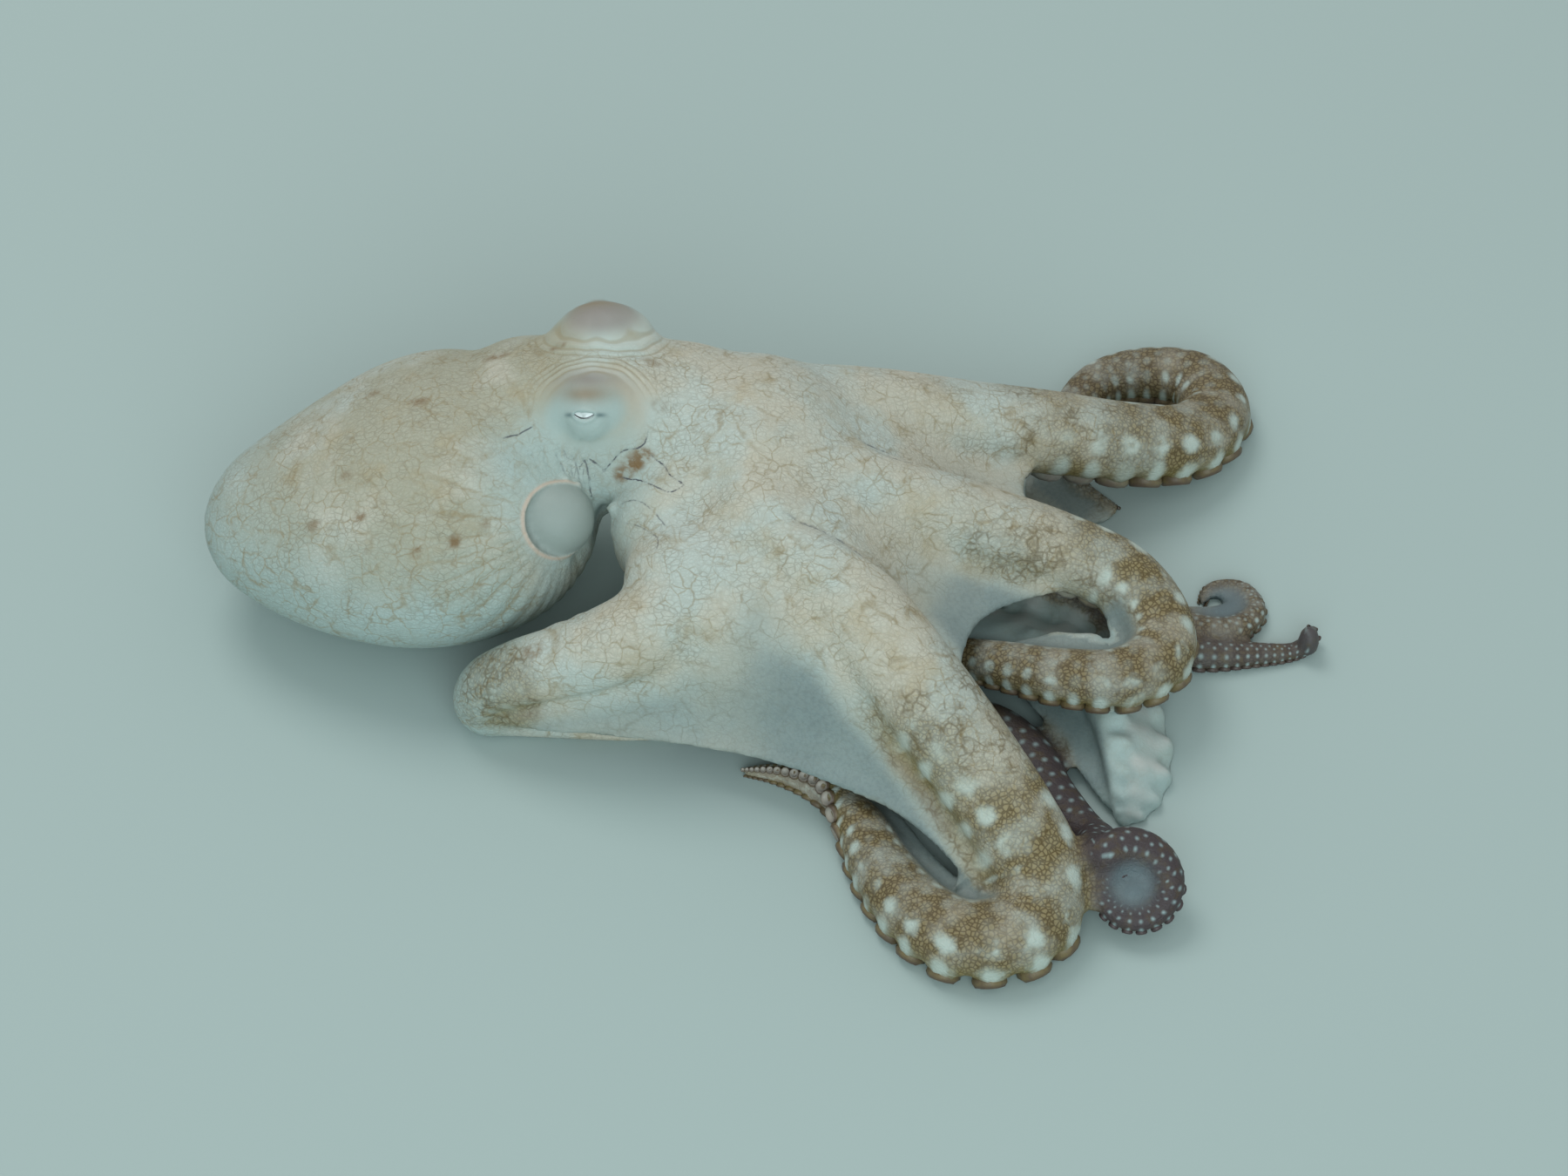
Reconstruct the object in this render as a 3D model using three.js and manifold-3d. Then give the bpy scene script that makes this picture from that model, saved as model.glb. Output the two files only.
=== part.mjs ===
// A life-size still model of an octopus crawling over a level floor.
// Millimetres, +Z up. The arms reach towards +X, the mantle lies towards -X, and the right side faces -Y.
// Every piece starts as a three.js primitive whose vertices are then moved on to the animal's own surfaces.
import * as THREE from "three";
import { mergeVertices } from "three/addons/utils/BufferGeometryUtils.js";
import Module from "manifold-3d";

const wasm = await Module();
wasm.setup();

// ---- Driving dimensions ----
const GAP = 0.3; // left between touching pieces
const UP = new THREE.Vector3(0, 0, 1);

// The mantle: an egg on a gently bent axis, which runs from the tail to the neck.
const MANTLE_TAIL = new THREE.Vector3(-161, 23, 29);
const MANTLE_MIDDLE = new THREE.Vector3(-109, 18.5, 26);
const MANTLE_FRONT = new THREE.Vector3(-52, 38, 42);
const MANTLE_AXIS = new THREE.QuadraticBezierCurve3(MANTLE_TAIL, MANTLE_MIDDLE, MANTLE_FRONT);
const MANTLE_WIDTH = 1.1; // half width and half height, as shares of the profile's radius
const MANTLE_HEIGHT = 0.8;
// The mantle's opening, beside the neck, where the siphon comes out.
const OPENING_CENTRE = new THREE.Vector3(-59.5, 2, 51);
const OPENING_RADII = new THREE.Vector3(12.3, 11, 10.5);
// Distance from the tail and radius, both as shares of the mantle's length.
const MANTLE_PROFILE = [
  [0, 0], [0.012, 0.058], [0.032, 0.1], [0.07, 0.15], [0.15, 0.209], [0.25, 0.265], [0.36, 0.314], [0.48, 0.354],
  [0.61, 0.372], [0.72, 0.362], [0.81, 0.328], [0.88, 0.275], [0.94, 0.205], [0.985, 0.105], [1, 0],
];

// The head and the two mounds that carry the eyes.
const HEAD_CENTRE = new THREE.Vector3(-50, 41, 49);
const HEAD_RADII = new THREE.Vector3(30, 26, 24);
const EYE_RADIUS = 8;
const EYE_MOUNDS = [[-52, 30], [-50, 55]]; // the middle of the right one, then the left one
const EYE_Z = 66;
const EYE_OUT = 3.6; // how far each eye sits out from the middle of its mound
const MOUND_RADII = [new THREE.Vector3(13, 10.5, 10.5), new THREE.Vector3(15.5, 11, 11.2)];

// The crown is the muscular ring that the arms grow from.
const CROWN_CENTRE = new THREE.Vector3(-9, 30, 38);
const CROWN_RADII = new THREE.Vector3(34, 37, 31);
const THROAT_CENTRE = new THREE.Vector3(-31, 9, 38); // fills the crown out towards the mantle's opening
const THROAT_RADII = new THREE.Vector3(17, 17, 21);
const PALM_CENTRE = new THREE.Vector3(-24, -10, 41); // and this one out to the third right arm
const PALM_RADII = new THREE.Vector3(20, 16, 17);

// The siphon comes out of the mantle's opening below the right eye.
const SIPHON_ROUTE = [[-79, 16, 44], [-70, 10, 46], [-61, 7, 46], [-55, 6, 44]];
const SIPHON_RADII = [9, 10, 9.5, 6.5];
const SIPHON_BORE = 0.62; // the tube's hole, as a share of its radius
const BORE_SIDES = 8;
const SIPHON_PAST = 2; // how far the hole is cut past the tube's end

// ---- Arms ----
const ARM_SIDES = 8;
const TIP_RADIUS = 1.3;
const ARM_HEIGHT = 0.9; // half height over half width, above the centre line
const ARM_BELLY = 0.72; // and below it, where the suckers sit
const FLOOR_PRESS = 0.63; // the centre line's height over the radius where an arm lies on the floor

// A flat coil: points from the outer turn inwards, round a centre, tilted about the X axis.
function coil({ centre, radius, inner, turns, start, turn, tilt, squash = 1 }) {
  const points = [];
  const steps = Math.round(turns * 9);
  for (let i = 0; i <= steps; i++) {
    const share = i / steps;
    const angle = THREE.MathUtils.degToRad(start) + turn * share * turns * 2 * Math.PI;
    const r = THREE.MathUtils.lerp(radius, inner, Math.pow(share, 0.8));
    const across = r * Math.sin(angle) * squash;
    const lean = THREE.MathUtils.degToRad(tilt);
    points.push([
      centre[0] + r * Math.cos(angle),
      centre[1] + across * Math.cos(lean),
      centre[2] + across * Math.sin(lean),
    ]);
  }
  return points;
}

// Each arm: its radius at the root, how far it keeps its thickness (a greater number tapers later), its centre line
// from the crown outwards, and where it is divided. A flat arm is lower by that share, and lies is its own floor press.
const ARMS = {
  left_1: {
    root: 14.3,
    keeps: 2.4,
    route: [
      [-20, 40, 55], [0, 46, 48], [24, 51, 40], [49, 54, 32], [74, 57, 25], [97, 60, 18], [115, 67, 11],
      [124.5, 81, 6], [119.5, 94, 0], [106, 98, 0], [92, 95, 0], [83, 84, 0], [80, 70, 0], [85, 57, 0], [96, 49, 0],
    ],
    cuts: [0.26, 0.43, 0.58, 0.76],
  },
  right_1: {
    root: 12.5,
    keeps: 2.5,
    route: [
      [-20, 22, 58], [-9, 19, 59], [12, 18, 51], [31, 16, 44], [52, 14, 36], [74, 10, 30], [93, 4, 24],
      [102, -7, 20], [102.5, -20, 20], [92, -29.5, 22], [76, -29.5, 23], [60, -24, 21], [46, -17, 16], [32, -12, 9],
      [18, -12, 0], [6, -14, 0],
    ],
    cuts: [0.3, 0.45, 0.58, 0.78],
  },
  right_2: {
    root: 13.5,
    keeps: 4,
    route: [
      [-19, 8, 54], [-5, -3, 55], [12, -17, 49], [26, -33, 43], [38, -48, 37], [49, -62, 30], [60, -76, 21],
      [67.5, -88, 13], [67, -98.5, 8], [58.5, -106, 0], [46.5, -106, 0], [35.5, -97, 0], [26.5, -82, 0], [20, -65, 0],
      [11, -53, 0], [-1, -47, 0], [-12, -45, 0],
    ],
    cuts: [0.3, 0.46, 0.6, 0.78],
  },
  right_3: {
    root: 14.5,
    keeps: 1.3,
    rolls: true,
    route: [
      [-16, 4, 44], [-22, -14, 45], [-36, -25, 39], [-53, -29, 32], [-69, -29, 25], [-81, -28, 17], [-84, -28, 8.5],
      [-76, -28, 0], [-60, -30, 0], [-44, -32, 0], [-28, -33, 0],
    ],
    cuts: [0.42, 0.62],
  },
  right_4: {
    root: 9,
    keeps: 1.9,
    route: [
      [-20, 6, 26], [-14, -10, 18], [2, -22, 8], [20, -29, 0], [40, -31, 0], [57, -34, 0], [66.5, -43, 0],
      [72, -55, 0], [78, -65, 0], [84, -74, 7],
      ...coil({ centre: [92.5, -92.5, 11.5], radius: 12.4, inner: 2.4, turns: 2, start: 135, turn: -1, tilt: 36 }),
    ],
    cuts: [0.22, 0.42, 0.58],
  },
  left_4: {
    root: 14,
    keeps: 14,
    turnedOver: true,
    flat: 0.52,
    lies: 0.42,
    route: [
      [-12, 18, 16], [10, 11, 8], [34, 6, 0], [57, 1, 0], [77, -7, 0], [89, -20, 0], [94.8, -34, 0], [96, -47, 0],
      [94, -58, 0], [90.5, -64, 0],
    ],
    cuts: [0.34, 0.66],
  },
  left_3: {
    root: 10.5,
    keeps: 1.2,
    route: [
      [-16, 42, 18], [4, 41, 9], [30, 35, 0], [54, 26, 0], [78, 14, 0], [97, 2, 0], [113, -5, 0], [130, -5, 0],
      [143, -3, 0], [148, 1, 4], [146, 1, 7.5],
    ],
    cuts: [0.3, 0.55, 0.8],
  },
  left_2: {
    root: 12.5,
    keeps: 1.2,
    route: [
      [-18, 54, 32], [0, 61, 18], [22, 61, 6], [46, 52, 0], [66, 39, 0], [84, 27, 0], [100, 14, 0], [112, 4, 0],
      [124, 3, 0], [132, 10, 0], [129, 19, 0], [120, 20, 0], [117, 13.5, 0],
    ],
    cuts: [0.3, 0.52, 0.76],
  },
};

// ---- Webs: the skin between neighbouring arms ----
// reach is how far the web runs along each of its two arms; edge is its free edge, from the first arm to the second,
// or notch how far a free edge is drawn in; sag is how deep the web hangs between its arms;
// up is where it meets the arms, at the crown and at its free edge, as shares of the arm's radius;
// palm is between which shares of its reach it thins from the full depth of its arms to a sheet.
const WEBS = {
  web_dorsal: { arms: ["left_1", "right_1"], reach: [112, 104], sag: 4, notch: 0.14, up: [0.5, 0.2], palm: [0.3, 0.85] },
  web_right_12: { arms: ["right_1", "right_2"], reach: [124, 96], sag: 6, notch: 0.2, up: [0.5, 0.0], palm: [0.3, 0.8] },
  web_right_23: {
    arms: ["right_2", "right_3"], reach: [150, 98], sag: 12, up: [0.5, -0.1], palm: [0.3, 0.86],
    edge: [
      [58, -95, 9], [53, -93, 10], [47, -88, 11.5], [39, -79, 14], [29, -70, 15.5], [12, -60, 17], [-9, -49.5, 15.5],
      [-40, -41.5, 12.5], [-62, -38.5, 9.5], [-78, -34, 8],
    ],
  },
  web_right_34: { arms: ["right_3", "right_4"], reach: [44, 34], sag: 3, notch: 0.2, up: [0.1, 0] },
  web_ventral: { arms: ["right_4", "left_4"], reach: [36, 36], sag: 2, notch: 0.2, up: [0, 0] },
  web_left_34: { arms: ["left_4", "left_3"], reach: [36, 36], sag: 2, notch: 0.2, up: [0, 0] },
  web_left_23: { arms: ["left_3", "left_2"], reach: [40, 48], sag: 3, notch: 0.2, up: [0, 0] },
  web_left_12: { arms: ["left_2", "left_1"], reach: [88, 92], sag: 7, notch: 0.2, up: [0.3, 0.1] },
};
const WEB_THICK = [3.4, 1.8]; // at the crown and at the free edge
const WEB_START = 6; // mm along the arm where the web begins, inside the crown
const PALM_HEIGHT = 0.88; // the palm's height on its arms, as a share of their radius
const PALM_VALLEY = 2.2; // mm that it lies lower between them

// ---- Materials ----
const skin = (colour, roughness = 0.5) => new THREE.MeshStandardMaterial({ color: colour, roughness });
const PALE_SKIN = skin(0xc4c6b8);
const BROWN_SKIN = skin(0x9c8f6c);
const DARK_SKIN = skin(0x5a4a45);
const WEB_SKIN = skin(0x9db0ac);
const SIPHON_SKIN = skin(0x9cacab, 0.35);
const EYE_BALL = skin(0xb9cbcc, 0.15);

// ---- Solids ----
// A three.js geometry as a solid whose shared vertices are merged, lying on or above the floor.
function solid(geometry) {
  const g = geometry.clone();
  g.deleteAttribute("normal");
  g.deleteAttribute("uv");
  const place = g.getAttribute("position");
  for (let i = 0; i < place.count; i++) place.setZ(i, Math.max(0, place.getZ(i)));
  const merged = mergeVertices(g, 1e-3);
  const mesh = new wasm.Mesh({
    numProp: 3,
    vertProperties: merged.attributes.position.array,
    triVerts: new Uint32Array(merged.index.array),
  });
  return new wasm.Manifold(mesh);
}

// The largest of the bodies a cut has left.
function largest(made) {
  return made.decompose().sort((p, q) => q.volume() - p.volume())[0];
}

function meshOf(name, made, material) {
  const { vertProperties, triVerts, numProp } = made.getMesh();
  const places = new Float32Array((vertProperties.length / numProp) * 3);
  for (let i = 0; i < places.length / 3; i++) places.set(vertProperties.subarray(i * numProp, i * numProp + 3), i * 3);
  const g = new THREE.BufferGeometry();
  g.setAttribute("position", new THREE.BufferAttribute(places, 3));
  g.setIndex(new THREE.BufferAttribute(triVerts, 1));
  g.computeVertexNormals();
  const mesh = new THREE.Mesh(g, material);
  mesh.name = name;
  return mesh;
}

// Moves every vertex of a primitive with move(vertex).
function shaped(geometry, move) {
  const place = geometry.getAttribute("position");
  const v = new THREE.Vector3();
  for (let i = 0; i < place.count; i++) {
    v.fromBufferAttribute(place, i);
    move(v);
    place.setXYZ(i, v.x, v.y, v.z);
  }
  return geometry;
}

// ---- Arm centre lines ----
// Samples an arm's centre line every millimetre or so: place, direction, the way its back faces, and its radius.
const SAMPLES = 360;
function armLine(arm) {
  const curve = new THREE.CatmullRomCurve3(arm.route.map((p) => new THREE.Vector3(...p)), false, "centripetal");
  curve.arcLengthDivisions = 1200;
  const length = curve.getLength();
  const line = [];
  let back = null;
  for (let i = 0; i <= SAMPLES; i++) {
    const u = i / SAMPLES;
    const radius = TIP_RADIUS + (arm.root - TIP_RADIUS) * (1 - Math.pow(u, arm.keeps));
    const centre = curve.getPointAt(u);
    centre.z = Math.max(centre.z, radius * (arm.lies ?? FLOOR_PRESS));
    const along = curve.getTangentAt(u);
    const from = arm.rolls && back ? back : UP;
    back = from.clone().addScaledVector(along, -from.dot(along)).normalize();
    const faces = back.clone();
    if (arm.turnedOver) faces.applyAxisAngle(along, 2.5 * THREE.MathUtils.smoothstep(u, 0.1, 0.4));
    line.push({ centre, along, back: faces, side: along.clone().cross(faces), radius, at: u * length });
  }
  return { line, length };
}

for (const arm of Object.values(ARMS)) Object.assign(arm, armLine(arm));

function onLine(arm, at) {
  const place = (THREE.MathUtils.clamp(at / arm.length, 0, 1)) * SAMPLES;
  const i = Math.min(Math.floor(place), SAMPLES - 1);
  const [a, b, t] = [arm.line[i], arm.line[i + 1], place - i];
  return {
    centre: a.centre.clone().lerp(b.centre, t),
    back: a.back.clone().lerp(b.back, t).normalize(),
    side: a.side.clone().lerp(b.side, t).normalize(),
    radius: THREE.MathUtils.lerp(a.radius, b.radius, t),
  };
}

// Ring positions from one end of a length to the other, closer together where the arm is thinner.
function rings(arm, from, to) {
  const found = [from];
  while (found.at(-1) < to) found.push(found.at(-1) + THREE.MathUtils.clamp(1.2 * onLine(arm, found.at(-1)).radius, 4.2, 12));
  const stretch = (to - from) / (found.at(-1) - from);
  return found.map((at) => from + (at - from) * stretch);
}

// A length of arm: a cylinder whose rings are carried to the centre line, round on the back and flatter below.
function armLength(arm, from, to, grow = 0) {
  const at = rings(arm, from, to);
  const steps = at.length - 1;
  const g = new THREE.CylinderGeometry(1, 1, 1, ARM_SIDES, steps, false, Math.PI / ARM_SIDES);
  return solid(
    shaped(g, (v) => {
      const ring = onLine(arm, at[Math.round((v.y + 0.5) * steps)]);
      const r = ring.radius + grow;
      const across = v.x * r;
      const high = v.z * (v.z > 0 ? ARM_HEIGHT : ARM_BELLY) * (arm.flat ?? 1) * r;
      v.copy(ring.centre).addScaledVector(ring.side, across).addScaledVector(ring.back, high);
    }),
  );
}

// ---- Body ----
function mantle(grow = 0) {
  const length = MANTLE_AXIS.getLength();
  const profile = MANTLE_PROFILE.map(([share, r]) => new THREE.Vector2(r * length, share * length));
  const g = new THREE.LatheGeometry(profile, 20, Math.PI / 20);
  return solid(
    shaped(g, (v) => {
      const share = v.y / length;
      const r = Math.hypot(v.x, v.z);
      const swell = r > 0 ? 1 + grow / r : 0;
      const [across, far, high] = [v.x * swell * MANTLE_WIDTH, Math.sign(share - 0.5) * grow, v.z * swell * MANTLE_HEIGHT];
      const along = MANTLE_AXIS.getTangent(share);
      const side = along.clone().cross(UP).normalize();
      const up = side.clone().cross(along);
      v.copy(MANTLE_AXIS.getPoint(share)).addScaledVector(along, far).addScaledVector(side, across).addScaledVector(up, high);
    }),
  );
}

function ellipsoid(centre, radii, grow = 0, around = 14, down = 10) {
  return solid(
    shaped(new THREE.SphereGeometry(1, around, down), (v) => {
      const [x, y, z] = [v.x, -v.z, v.y];
      v.set(centre.x + x * (radii.x + grow), centre.y + y * (radii.y + grow), centre.z + z * (radii.z + grow));
    }),
  );
}

const mound = ([x, y], i, grow = 0) => ellipsoid(new THREE.Vector3(x, y, EYE_Z), MOUND_RADII[i], grow, 12, 8);
const eyeAt = ([x, y]) => new THREE.Vector3(x - 1, y + Math.sign(y - HEAD_CENTRE.y) * EYE_OUT, EYE_Z + 1);
const eye = (place, grow = 0) => ellipsoid(eyeAt(place), new THREE.Vector3().setScalar(EYE_RADIUS), grow, 12, 8);

const headBlock = EYE_MOUNDS.reduce(
  (made, place, i) => made.add(mound(place, i, GAP)),
  ellipsoid(HEAD_CENTRE, HEAD_RADII, GAP, 14, 8),
);
const crown = (grow = 0) =>
  ellipsoid(CROWN_CENTRE, CROWN_RADII, grow)
    .add(ellipsoid(THROAT_CENTRE, THROAT_RADII, grow, 12, 8))
    .add(ellipsoid(PALM_CENTRE, PALM_RADII, grow, 12, 8));
const crownBlock = crown(GAP);
const bodyBlock = crownBlock.add(headBlock).add(mantle(GAP));
const opening = ellipsoid(OPENING_CENTRE, OPENING_RADII, 0, 12, 8);
const mantleSolid = mantle().subtract(headBlock).subtract(opening);
const mantleBlock = mantle(GAP).subtract(ellipsoid(OPENING_CENTRE, OPENING_RADII, -GAP, 12, 8));

let headSolid = ellipsoid(HEAD_CENTRE, HEAD_RADII, 0, 14, 8);
EYE_MOUNDS.forEach((place, i) => (headSolid = headSolid.add(mound(place, i))));
for (const place of EYE_MOUNDS) headSolid = headSolid.subtract(eye(place, GAP));
const crownSolid = crown().subtract(headBlock).subtract(mantle(GAP));

// The siphon: a tube that widens into the mantle's opening.
function siphonTube(radii, sides, grow = 0) {
  const curve = new THREE.CatmullRomCurve3(SIPHON_ROUTE.map((p) => new THREE.Vector3(...p)));
  const steps = 6;
  return solid(
    shaped(new THREE.CylinderGeometry(1, 1, 1, sides, steps), (v) => {
      const u = v.y + 0.5;
      const along = curve.getTangentAt(u);
      const side = along.clone().cross(UP).normalize();
      const up = side.clone().cross(along);
      const place = u * (radii.length - 1);
      const i = Math.min(Math.floor(place), radii.length - 2);
      const r = THREE.MathUtils.lerp(radii[i], radii[i + 1], place - i) + grow;
      const [across, high, past] = [v.x * r, v.z * r, (u === 1 ? 1 : 0) * SIPHON_PAST * (sides === BORE_SIDES)];
      v.copy(curve.getPointAt(u)).addScaledVector(side, across).addScaledVector(up, high).addScaledVector(along, past);
    }),
  );
}
const siphon = siphonTube(SIPHON_RADII, 12)
  .subtract(siphonTube(SIPHON_RADII.map((r) => r * SIPHON_BORE), BORE_SIDES))
  .subtract(mantleBlock)
  .subtract(headBlock)
  .subtract(crownBlock);

const octopus = new THREE.Group();
octopus.add(meshOf("mantle", largest(mantleSolid), PALE_SKIN));
octopus.add(meshOf("head", headSolid, PALE_SKIN));
octopus.add(meshOf("crown", crownSolid, PALE_SKIN));
octopus.add(meshOf("siphon", largest(siphon), SIPHON_SKIN));
octopus.add(meshOf("eye_right", eye(EYE_MOUNDS[0]), EYE_BALL));
octopus.add(meshOf("eye_left", eye(EYE_MOUNDS[1]), EYE_BALL));

// ---- Arms, each divided into lengths ----
const armBlocks = {};
for (const [name, arm] of Object.entries(ARMS)) {
  const ends = [0, ...arm.cuts.map((c) => c * arm.length), arm.length];
  let block = null;
  for (let i = 0; i + 1 < ends.length; i++) {
    const from = ends[i] + (i ? GAP : 0);
    let made = armLength(arm, from, ends[i + 1]);
    const wide = armLength(arm, from, ends[i + 1], GAP);
    if (i === 0) {
      made = made.subtract(bodyBlock);
      for (const other of Object.values(armBlocks)) made = made.subtract(other);
    }
    if (block && arm.folds) made = made.subtract(block);
    block = block ? block.add(wide) : wide;
    octopus.add(meshOf("arm_" + name + "_" + (i + 1), largest(made), i > 1 ? DARK_SKIN : BROWN_SKIN));
  }
  armBlocks[name] = block;
}

// ---- Webs ----
function ruled(web, share, out) {
  const drawn = out * (1 - (web.notch ?? 0) * Math.sin(Math.PI * share));
  const up = THREE.MathUtils.lerp(web.up[0], web.up[1], drawn);
  const [a, b] = web.arms.map((name, k) => {
    const ring = onLine(ARMS[name], THREE.MathUtils.lerp(WEB_START, web.reach[k], drawn));
    return { place: ring.centre.clone().addScaledVector(ring.back, ring.radius * up), back: ring.back };
  });
  const back = a.back.clone().lerp(b.back, share).normalize();
  const hang = web.sag * Math.sin(Math.PI * share) * Math.sin((Math.PI / 2) * Math.min(1, drawn * 1.6));
  return a.place.clone().lerp(b.place, share).addScaledVector(back, -hang);
}

function webPoint(web, share, out) {
  const p = ruled(web, share, out);
  if (!web.edge) return p;
  web.curve ??= new THREE.CatmullRomCurve3(web.edge.map((e) => new THREE.Vector3(...e)), false, "centripetal");
  const drawnOut = web.curve.getPointAt(share).sub(ruled(web, share, 1));
  return p.addScaledVector(drawnOut, out * out);
}

// The top of the thick flesh between two arms, level with their backs.
function palmPoint(web, share, out) {
  const drawn = out * (1 - (web.notch ?? 0) * Math.sin(Math.PI * share));
  const [a, b] = web.arms.map((name, k) => {
    const ring = onLine(ARMS[name], THREE.MathUtils.lerp(WEB_START, web.reach[k], drawn));
    return ring.centre.clone().addScaledVector(ring.back, ring.radius * PALM_HEIGHT);
  });
  return a.lerp(b, share).addScaledVector(UP, -PALM_VALLEY * Math.sin(Math.PI * share));
}

function webSheet(web, across, outward, grow = 0) {
  const g = new THREE.BoxGeometry(1, 1, 1, across, outward, 1);
  const step = 0.01;
  return solid(
    shaped(g, (v) => {
      const [share, out, face] = [v.x + 0.5, v.y + 0.5, v.z];
      const p = webPoint(web, share, out);
      const dx = webPoint(web, Math.min(1, share + step), out).sub(webPoint(web, Math.max(0, share - step), out));
      const dy = webPoint(web, share, Math.min(1, out + step)).sub(webPoint(web, share, Math.max(0, out - step)));
      const normal = dx.cross(dy).normalize();
      const level = web.palm && face > 0 ? 1 - THREE.MathUtils.smoothstep(out, ...web.palm) : 0;
      const top = level ? palmPoint(web, share, out) : p;
      v.copy(p).addScaledVector(normal, face * THREE.MathUtils.lerp(...WEB_THICK, out)).lerp(top, level);
      v.addScaledVector(normal, 2 * face * grow);
    }),
  );
}

let webBlock = null;
for (const [name, web] of Object.entries(WEBS)) {
  const rows = Math.round(Math.max(...web.reach) / 23);
  const across = web.edge ? 5 : 4;
  let made = webSheet(web, across, rows).subtract(bodyBlock);
  for (const arm of web.arms) made = made.subtract(armBlocks[arm]);
  if (webBlock) made = made.subtract(webBlock);
  const wide = webSheet(web, across, rows, GAP);
  webBlock = webBlock ? webBlock.add(wide) : wide;
  octopus.add(meshOf(name, largest(made), WEB_SKIN));
}

// The origin is the middle of the bottom of the whole animal's box.
const box = new THREE.Box3().setFromObject(octopus);
octopus.position.set(-(box.min.x + box.max.x) / 2, -(box.min.y + box.max.y) / 2, -box.min.z);

export default octopus;
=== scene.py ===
# %% [markdown]
# # A crawling octopus
# The plain solids of this animal are loaded first and stay where they are. Over them goes one seamless
# skin, with an eyeball in each socket and rows of suckers under the arms. An octopus has no hard edges,
# so its skin can't be boxed out face by face with much success. It is made the way a sculptor would:
# rough forms are set over the solids, melted into one surface, and then worked with finer tools.

# %% Load the fixed frame
import math

import bpy
import numpy as np
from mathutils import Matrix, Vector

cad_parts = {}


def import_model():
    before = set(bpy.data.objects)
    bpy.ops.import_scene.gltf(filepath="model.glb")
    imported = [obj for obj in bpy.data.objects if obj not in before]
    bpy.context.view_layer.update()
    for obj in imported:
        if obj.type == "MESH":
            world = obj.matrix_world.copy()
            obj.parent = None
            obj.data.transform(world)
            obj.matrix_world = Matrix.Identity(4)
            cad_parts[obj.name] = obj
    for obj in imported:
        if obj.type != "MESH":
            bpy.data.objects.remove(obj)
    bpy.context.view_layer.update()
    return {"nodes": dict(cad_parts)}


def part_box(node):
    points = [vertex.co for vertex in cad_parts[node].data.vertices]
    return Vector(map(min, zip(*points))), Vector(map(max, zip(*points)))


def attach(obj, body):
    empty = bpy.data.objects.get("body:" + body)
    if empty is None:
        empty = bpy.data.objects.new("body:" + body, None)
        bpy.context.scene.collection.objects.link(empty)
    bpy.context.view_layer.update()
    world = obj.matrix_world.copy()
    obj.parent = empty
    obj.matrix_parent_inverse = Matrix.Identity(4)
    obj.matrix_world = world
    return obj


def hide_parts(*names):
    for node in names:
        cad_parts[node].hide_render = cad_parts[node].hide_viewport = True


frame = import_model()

# %% [markdown]
# ## The animal's own measure
# The forms are laid out in millimetres about a point inside the body, as the solids were. The right
# eyeball's place is known in both measures, so the difference between them gives the shift from one to
# the other.

# %% Millimetres to the frame
EYE_RADIUS = 8.0
RIGHT_EYE_MM = np.array([-53.0, 26.4, 67.0])
LEFT_EYE_MM = np.array([-51.0, 58.6, 67.0])
low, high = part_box("eye_right")
SHIFT = (np.array(low) + np.array(high)) * 500 - RIGHT_EYE_MM
UP = np.array([0.0, 0.0, 1.0])


def world(points):
    """Millimetres about the body's own point, as metres in the frame."""
    return (np.asarray(points, float) + SHIFT) / 1000


def body(points):
    """Metres in the frame, as millimetres about the body's own point."""
    return np.asarray(points, float) * 1000 - SHIFT


def smooth(low_edge, high_edge, value):
    """0 below the low edge, 1 above the high edge, and a soft slope between them."""
    share = np.clip((np.asarray(value, float) - low_edge) / (high_edge - low_edge), 0, 1)
    return share * share * (3 - 2 * share)


def unit(vectors):
    vectors = np.asarray(vectors, float)
    return vectors / np.maximum(np.linalg.norm(vectors, axis=-1, keepdims=True), 1e-9)


def columns(at, marks, values):
    """np.interp for every column of an array."""
    return np.stack([np.interp(at, marks, column) for column in values.T], -1)


print("shift in mm:", SHIFT.round(3))

# %% [markdown]
# ## The camera comes first
# It looks down on the animal's right side at 50 degrees, from 1.4 m, with a long lens, so that the arms
# nearer to it look no larger than they are.

# %% Camera
CAMERA_TILT = math.radians(50)
CAMERA_AWAY = 1400.0  # millimetres, as every length here that has no unit of its own
LENS = 116.7
TARGET = np.array([0.0, 0.0, 25.0])
where = TARGET + CAMERA_AWAY * np.array([0, -math.cos(CAMERA_TILT), math.sin(CAMERA_TILT)])
bpy.ops.object.select_all(action="DESELECT")
bpy.ops.object.camera_add(location=world(where), rotation=(math.pi / 2 - CAMERA_TILT, 0, 0))
camera = bpy.context.object
camera.name = "camera"
camera.data.lens = LENS
camera.data.sensor_width = 36
camera.data.clip_end = 20
bpy.context.scene.camera = camera
print("camera at", [round(c, 3) for c in camera.location])

# %% [markdown]
# ## Where the arms lie
# Every arm follows a centre line through a few points. A height of 0 means that the arm lies on the
# floor there, and its own thickness then lifts its centre line. `root` is its radius at the crown, and
# `keeps` says how late it thins. `pale_to` is the share of its length that keeps the body's pale skin,
# and `dark` is how dark its end is.

# %% Arm routes
TIP_RADIUS = 1.3
ARM_HEIGHT = 0.9
ARM_BELLY = 0.72
FLOOR_PRESS = 0.63
SAMPLES = 420
COIL_STEPS = 9


def coil(centre, radius, inner, turns, start, tilt):
    """Points round a flat coil, from its outer turn inwards, clockwise from above and leaning back."""
    steps = round(turns * COIL_STEPS)
    share = np.arange(steps + 1) / steps
    angle = math.radians(start) - share * turns * 2 * math.pi
    r = radius + (inner - radius) * share**0.8
    across = r * np.sin(angle)
    lean = math.radians(tilt)
    rise = np.stack([r * np.cos(angle), across * math.cos(lean), across * math.sin(lean)], 1)
    return (np.array(centre) + rise).tolist()


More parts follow.
